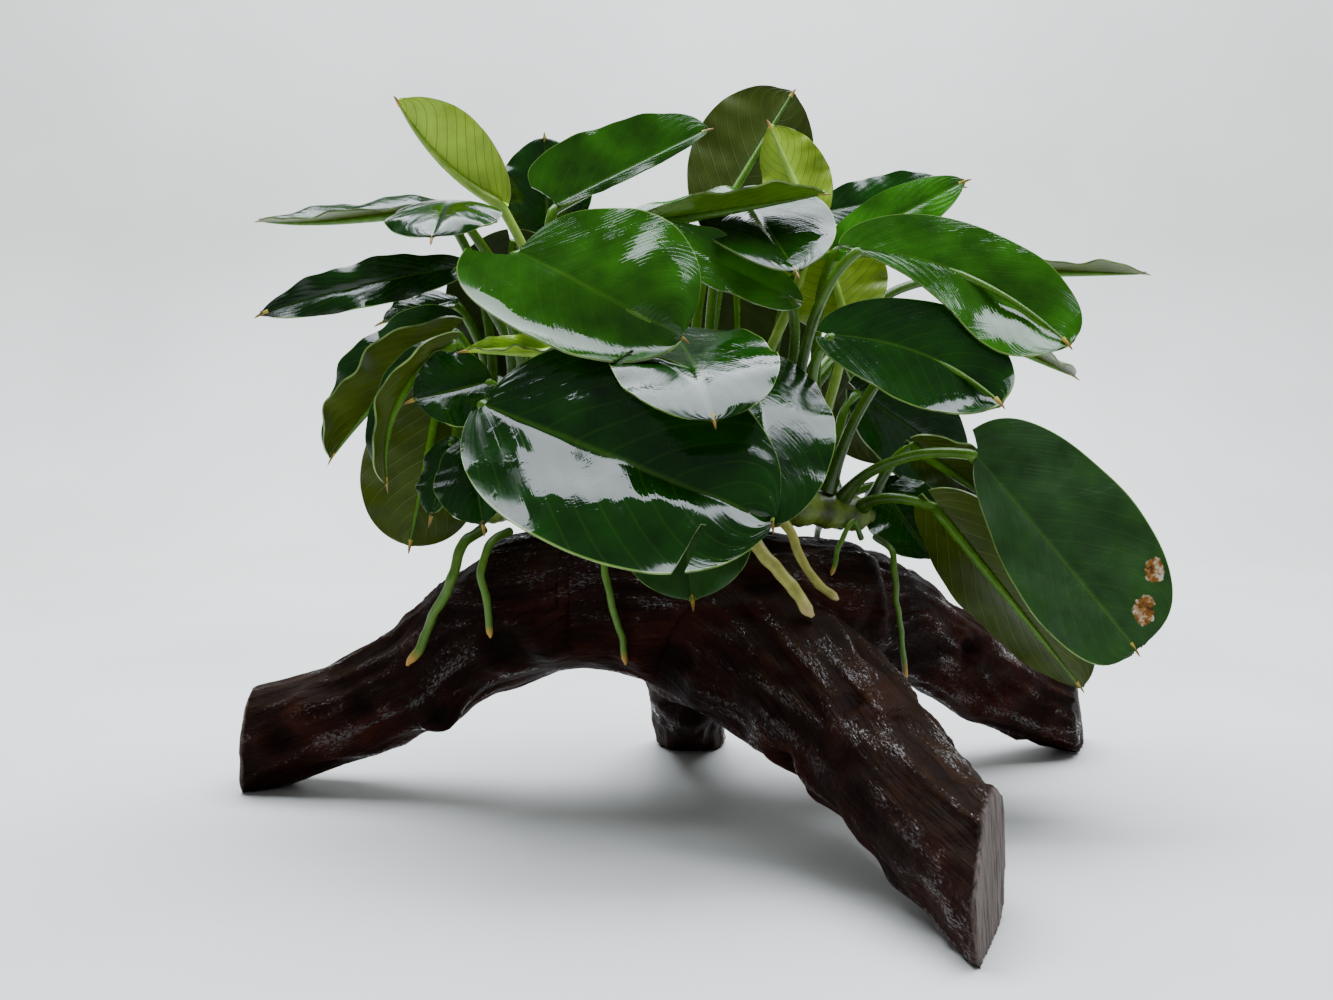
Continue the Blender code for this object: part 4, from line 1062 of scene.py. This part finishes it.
def soaked_wood(name, settings):
    """Bog wood, worn smooth and soaked: nearly black, reddish, with a water film over its grain.

    The film gives small sparkles on the ridges. The sawn ends are paler and greyer.
    """
    made, tree, shader = new_material(name, ior=1.45)
    place = add(tree, "Attribute", attribute_name="place")
    spot = add(tree, "TexCoord")
    hollow = add(tree, "Attribute", attribute_name="hollow")
    sawn = add(tree, "Attribute", attribute_name="sawn")
    grain_place = add(tree, "Mapping", {"Vector": place.outputs["Vector"], "Scale": (0.9, 0.07, 1.0)})
    grain = add(tree, "TexNoise", {"Vector": grain_place.outputs[0], "Scale": 1.0, "Detail": 6.0,
                                   "Roughness": 0.6})
    patches = add(tree, "TexNoise", {"Vector": spot.outputs["Object"], "Scale": 1 / (22 * MM), "Detail": 4.0})
    specks = add(tree, "TexNoise", {"Vector": spot.outputs["Object"], "Scale": 1 / (1.6 * MM), "Detail": 4.0})
    warm_share = add(tree, "MapRange", {"Value": patches.outputs["Fac"], "From Min": 0.42, "From Max": 0.62},
                     interpolation_type="SMOOTHSTEP")
    base = add(tree, "Mix", {0: warm_share.outputs["Result"], COLOUR_A: tuple(settings.wood),
                             COLOUR_B: tuple(settings.warm)}, data_type="RGBA")
    shape = add(tree, "NewGeometry")
    facing = add(tree, "SeparateXYZ", {0: shape.outputs["Normal"]})
    top = add(tree, "MapRange", {"Value": facing.outputs["Z"], "From Min": 0.25, "From Max": 0.8},
              interpolation_type="SMOOTHSTEP")
    film_share = add(tree, "Math", {0: top.outputs["Result"], 1: grain.outputs["Fac"]}, operation="MULTIPLY")
    filmed = add(tree, "Mix", {0: film_share.outputs[0], COLOUR_A: base.outputs[COLOUR_OUT],
                               COLOUR_B: tuple(settings.algae)}, data_type="RGBA")
    streaks = add(tree, "MapRange", {"Value": grain.outputs["Fac"], "From Min": 0.3, "From Max": 0.7,
                                     "To Min": 0.45, "To Max": 1.5})
    # Painted shade and light that follow the relief: furrows and knot holes are darkened, crests a little paler.
    depth = add(tree, "MapRange", {"Value": hollow.outputs["Fac"], "From Min": -1.2, "From Max": 0.6,
                                   "To Min": 0.35, "To Max": 1.15})
    shade = add(tree, "Math", {0: streaks.outputs["Result"], 1: depth.outputs["Result"]}, operation="MULTIPLY")
    bark = add(tree, "HueSaturation", {"Color": filmed.outputs[COLOUR_OUT], "Value": shade.outputs[0]})
    saw_place = add(tree, "Mapping", {"Vector": spot.outputs["Object"], "Scale": (900.0, 900.0, 110.0)})
    saw = add(tree, "TexNoise", {"Vector": saw_place.outputs[0], "Scale": 1.0, "Detail": 4.0})
    saw_dark = tuple(0.25 * c for c in tuple(settings.sawn)[:3]) + (1,)
    face = add(tree, "ValToRGB", {0: saw.outputs["Fac"]}, stops=((0.32, saw_dark), (0.55, tuple(settings.sawn))))
    whole = add(tree, "Mix", {0: sawn.outputs["Fac"], COLOUR_A: bark.outputs["Color"],
                              COLOUR_B: face.outputs["Color"]}, data_type="RGBA")
    tree.links.new(whole.outputs[COLOUR_OUT], shader.inputs["Base Color"])
    shader.inputs["Roughness"].default_value = 0.55
    shader.inputs["Specular IOR Level"].default_value = 0.05
    wet_place = add(tree, "Mapping", {"Vector": place.outputs["Vector"], "Scale": (2.2, 0.7, 1.0)})
    wet = add(tree, "TexNoise", {"Vector": wet_place.outputs[0], "Scale": 1.0, "Detail": 8.0, "Roughness": 0.75})
    crest = add(tree, "MapRange", {"Value": hollow.outputs["Fac"], "From Min": -0.3, "From Max": 0.8,
                                   "To Min": -0.12, "To Max": 0.10})
    damp = add(tree, "Math", {0: wet.outputs["Fac"], 1: crest.outputs["Result"]}, operation="ADD")
    drops = add(tree, "MapRange", {"Value": damp.outputs[0], "From Min": 0.575, "From Max": 0.61},
                interpolation_type="SMOOTHSTEP")
    bark_share = add(tree, "Math", {0: 1.0, 1: sawn.outputs["Fac"]}, operation="SUBTRACT")
    film = add(tree, "Math", {0: drops.outputs["Result"], 1: bark_share.outputs[0]}, operation="MULTIPLY")
    tree.links.new(film.outputs[0], shader.inputs["Coat Weight"])
    shader.inputs["Coat Roughness"].default_value = 0.06
    height = add(tree, "Math", {0: grain.outputs["Fac"], 1: 2.0, 2: specks.outputs["Fac"]},
                 operation="MULTIPLY_ADD")
    bump = add(tree, "Bump", {"Height": height.outputs[0], "Strength": 0.8, "Distance": 0.5 * MM})
    tree.links.new(bump.outputs["Normal"], shader.inputs["Normal"])
    tree.links.new(bump.outputs["Normal"], shader.inputs["Coat Normal"])
    return made


def stem_skin(name):
    """Rhizome: green-brown skin with rings of old leaf scars."""
    made, tree, shader = new_material(name, ior=1.42)
    place = add(tree, "Attribute", attribute_name="place")
    parts = add(tree, "SeparateXYZ", {0: place.outputs["Vector"]})
    spot = add(tree, "TexCoord")
    ring = add(tree, "Math", {0: parts.outputs["Y"], 1: 14.0}, operation="MULTIPLY")
    fold = add(tree, "Math", {0: ring.outputs[0], 1: 0.5}, operation="PINGPONG")
    mottle = add(tree, "TexNoise", {"Vector": spot.outputs["Object"], "Scale": 1 / (3 * MM), "Detail": 5.0})
    mixed = add(tree, "Math", {0: fold.outputs[0], 1: mottle.outputs["Fac"]}, operation="ADD")
    skin = add(tree, "ValToRGB", {0: mixed.outputs[0]},
               stops=((0.3, linear("2A1E0C")), (0.55, linear("46551A")), (0.9, linear("6C7F30"))))
    tree.links.new(skin.outputs["Color"], shader.inputs["Base Color"])
    rough = add(tree, "MapRange", {"Value": mottle.outputs["Fac"], "To Min": 0.2, "To Max": 0.55})
    tree.links.new(rough.outputs["Result"], shader.inputs["Roughness"])
    bump = add(tree, "Bump", {"Height": mixed.outputs[0], "Strength": 0.8, "Distance": 0.5 * MM})
    tree.links.new(bump.outputs["Normal"], shader.inputs["Normal"])
    return made


# Operators

class ANUBIAS_OT_driftwood(bpy.types.Operator):
    """Build the driftwood as one skin and put it in place of its five solids"""

    bl_idname = "anubias.driftwood"
    bl_label = "Driftwood"

    def execute(self, context):
        settings = context.scene.anubias_wood
        piece = wood_piece(settings, soaked_wood("soaked_bog_wood", settings))
        place_piece(piece, "driftwood", *LIMB_TITLES.values())
        return {"FINISHED"}


class ANUBIAS_OT_rhizome(bpy.types.Operator):
    """Build the creeping stem with the rings of its old leaf scars"""

    bl_idname = "anubias.rhizome"
    bl_label = "Rhizome"

    def execute(self, context):
        line = smooth_line(RHIZOME, 160)
        shares = np.linspace(0, 1, len(line))
        rings = 1 + 0.10 * np.sin(2 * math.pi * 14 * shares) ** 3 + 0.05 * noise_at(line[:, :3], 4)
        ends = np.clip(np.minimum(shares, 1 - shares) / 0.03, 0.15, 1) ** 0.5
        shell = Shell()
        tube(shell, line[:, :3], line[:, 3] * rings * ends, 24, 0)
        piece = shell.build("rhizome_stem", [stem_skin("green_rhizome_skin")])
        place_piece(piece, "rhizome", "rhizome")
        return {"FINISHED"}


class ANUBIAS_OT_leaves(bpy.types.Operator):
    """Build every leaf: stalk, rib, blade and the point at its tip"""

    bl_idname = "anubias.leaves"
    bl_label = "Leaves"

    def execute(self, context):
        settings = context.scene.anubias_leaves
        rim = leaf_rim("pale_leaf_rim", linear("7C9652"))
        point = dry_point("drying_leaf_point", linear("B9A23C"), linear("7A5326"))
        vein = linear("55801C")
        margin = linear("6E9440")
        old_under = blade_under("old_leaf_underside", tuple(settings.under), linear("6C7A2C"), 0.22)
        grown_under = blade_under("grown_leaf_underside", linear("46690C"), linear("7E9A3A"), 0.3)
        young_under = blade_under("young_leaf_underside", tuple(settings.under_young), linear("5A741C"), 0.7)
        stalk = stalk_skin("leaf_stalk_skin", tuple(settings.stalk))
        young_stalk = stalk_skin("young_stalk_skin", linear("93B548"))
        kinds = {
            "dark": (blade_upper("old_leaf_cuticle", tuple(settings.dark), vein, margin), old_under, stalk),
            "bright": (blade_upper("grown_leaf_cuticle", tuple(settings.bright), vein, margin), grown_under,
                       stalk),
            "young": (blade_upper("young_leaf_cuticle", tuple(settings.young), linear("A9C45A"), margin),
                      young_under, young_stalk),
        }
        dull_upper = blade_upper("dull_leaf_cuticle", linear("1E3E14"), vein, margin, 0.42, 0.34)
        for number, (name, row) in enumerate(LEAVES.items()):
            upper, under, stem = kinds[row["kind"]]
            upper = dull_upper if row["dull"] else upper
            piece = leaf_piece(name + "_grown", row, settings, (upper, under, rim, stem, point),
                               0.37 * number)
            place_piece(piece, "leaf_" + row["kind"], name)
        return {"FINISHED"}


class ANUBIAS_OT_roots(bpy.types.Operator):
    """Build the roots that hang down over the wood"""

    bl_idname = "anubias.roots"
    bl_label = "Roots"

    def execute(self, context):
        skins = {
            "green": root_skin("green_root_skin", linear("4F7420"), linear("B98A3C")),
            "pale": root_skin("pale_root_skin", linear("A9A654"), linear("C9B878")),
        }
        for number, (name, (points, radius, kind)) in enumerate(ROOTS.items()):
            line = smooth_line(points, ROOT_SAMPLES)
            shares = np.linspace(0, 1, ROOT_SAMPLES)
            wobble = np.stack([noise_at(line, 5, number + 3 * k) for k in range(3)], axis=1)
            line = line + wobble * 0.5 * radius * np.minimum(1, 5 * shares)[:, None]
            radii = radius * (1.12 - 0.25 * shares) * (1 + 0.10 * noise_at(line, 2.5, number))
            radii = radii * np.clip((1 - shares) / 0.05, 0.12, 1) ** 0.5
            shell = Shell()
            tube(shell, line, radii, ROOT_SIDES, 0)
            piece = shell.build(name + "_grown", [skins[kind]])
            place_piece(piece, "root_" + kind, name)
        return {"FINISHED"}


class ANUBIAS_OT_stage(bpy.types.Operator):
    """Set up the floor, the lights, the room and the camera"""

    bl_idname = "anubias.stage"
    bl_label = "Stage"

    def execute(self, context):
        settings = context.scene.anubias_stage
        scene = context.scene
        self.floor(settings)
        self.lights(scene, settings)
        camera = bpy.data.objects.new("camera", bpy.data.cameras.new("camera"))
        camera.data.lens = settings.lens
        camera.data.sensor_width = 36
        camera.data.clip_start = 0.01
        camera.location = settings.camera_place
        camera.rotation_euler = (math.radians(90) - settings.camera_dip, 0, 0)
        scene.collection.objects.link(camera)
        scene.camera = camera
        return {"FINISHED"}

    def floor(self, settings):
        """A pale floor that sweeps up behind the object."""
        half_width, front, bend_start, bend, top = 3.0, -3.0, 0.52, 0.22, 0.46
        profile = [(front, 0.0), (bend_start, 0.0)]
        for step in range(1, 17):
            turn = math.pi / 2 * step / 16
            profile.append((bend_start + bend * math.sin(turn), bend * (1 - math.cos(turn))))
        profile.append((bend_start + bend, top))
        points = [(x, y, z) for y, z in profile for x in (-half_width, half_width)]
        faces = [(2 * i, 2 * i + 1, 2 * i + 3, 2 * i + 2) for i in range(len(profile) - 1)]
        data = bpy.data.meshes.new("floor")
        data.from_pydata(points, [], faces)
        data.shade_smooth()
        made, tree, shader = new_material("matt_paper_floor", roughness=0.65)
        spot = add(tree, "TexCoord")
        cloud = add(tree, "TexNoise", {"Vector": spot.outputs["Object"], "Scale": 6.0, "Detail": 4.0})
        dull = tuple(0.9 * c for c in tuple(settings.floor)[:3]) + (1,)
        paper = add(tree, "ValToRGB", {0: cloud.outputs["Fac"]}, stops=((0.35, dull), (0.65, tuple(settings.floor))))
        tree.links.new(paper.outputs["Color"], shader.inputs["Base Color"])
        data.materials.append(made)
        item = bpy.data.objects.new("floor", data)
        bpy.context.scene.collection.objects.link(item)

    def lights(self, scene, settings):
        """A broad light overhead, a little behind the object, and the even light of a room."""
        sky = bpy.data.lights.new("overhead", "AREA")
        sky.shape = "RECTANGLE"
        sky.size = 1.3
        sky.size_y = 0.8
        sky.energy = settings.sky_power
        sky.color = linear("EEF4FF")[:3]
        item = bpy.data.objects.new("overhead", sky)
        item.location = (0.0, 0.22, 1.0)
        scene.collection.objects.link(item)
        world = bpy.data.worlds.new("room")
        world.use_nodes = True
        background = world.node_tree.nodes["Background"]
        background.inputs["Color"].default_value = linear("DCE2E6")
        background.inputs["Strength"].default_value = settings.room_light
        scene.world = world


class ANUBIAS_PT_pieces(bpy.types.Panel):
    """The pieces of the plant, in the order in which they are built"""

    bl_idname = "ANUBIAS_PT_pieces"
    bl_label = "Dwarf Anubias"
    bl_space_type = "VIEW_3D"
    bl_region_type = "UI"
    bl_category = "Anubias"

    def draw(self, context):
        for operator in OPERATORS:
            self.layout.operator(operator.bl_idname)


OPERATORS = (ANUBIAS_OT_driftwood, ANUBIAS_OT_rhizome, ANUBIAS_OT_leaves, ANUBIAS_OT_roots,
             ANUBIAS_OT_stage)
SETTINGS = {
    "anubias_leaves": AnubiasLeafSettings,
    "anubias_wood": AnubiasWoodSettings,
    "anubias_stage": AnubiasStageSettings,
}


def register():
    for group in (*SETTINGS.values(), *OPERATORS, ANUBIAS_PT_pieces):
        bpy.utils.register_class(group)
    for name, group in SETTINGS.items():
        setattr(bpy.types.Scene, name, bpy.props.PointerProperty(type=group))


def unregister():
    for name in SETTINGS:
        delattr(bpy.types.Scene, name)
    for group in reversed((*SETTINGS.values(), *OPERATORS, ANUBIAS_PT_pieces)):
        bpy.utils.unregister_class(group)


def main():
    register()
    bpy.ops.anubias.driftwood()
    bpy.ops.anubias.rhizome()
    bpy.ops.anubias.leaves()
    bpy.ops.anubias.roots()
    bpy.ops.anubias.stage()


if __name__ == "__main__":
    main()
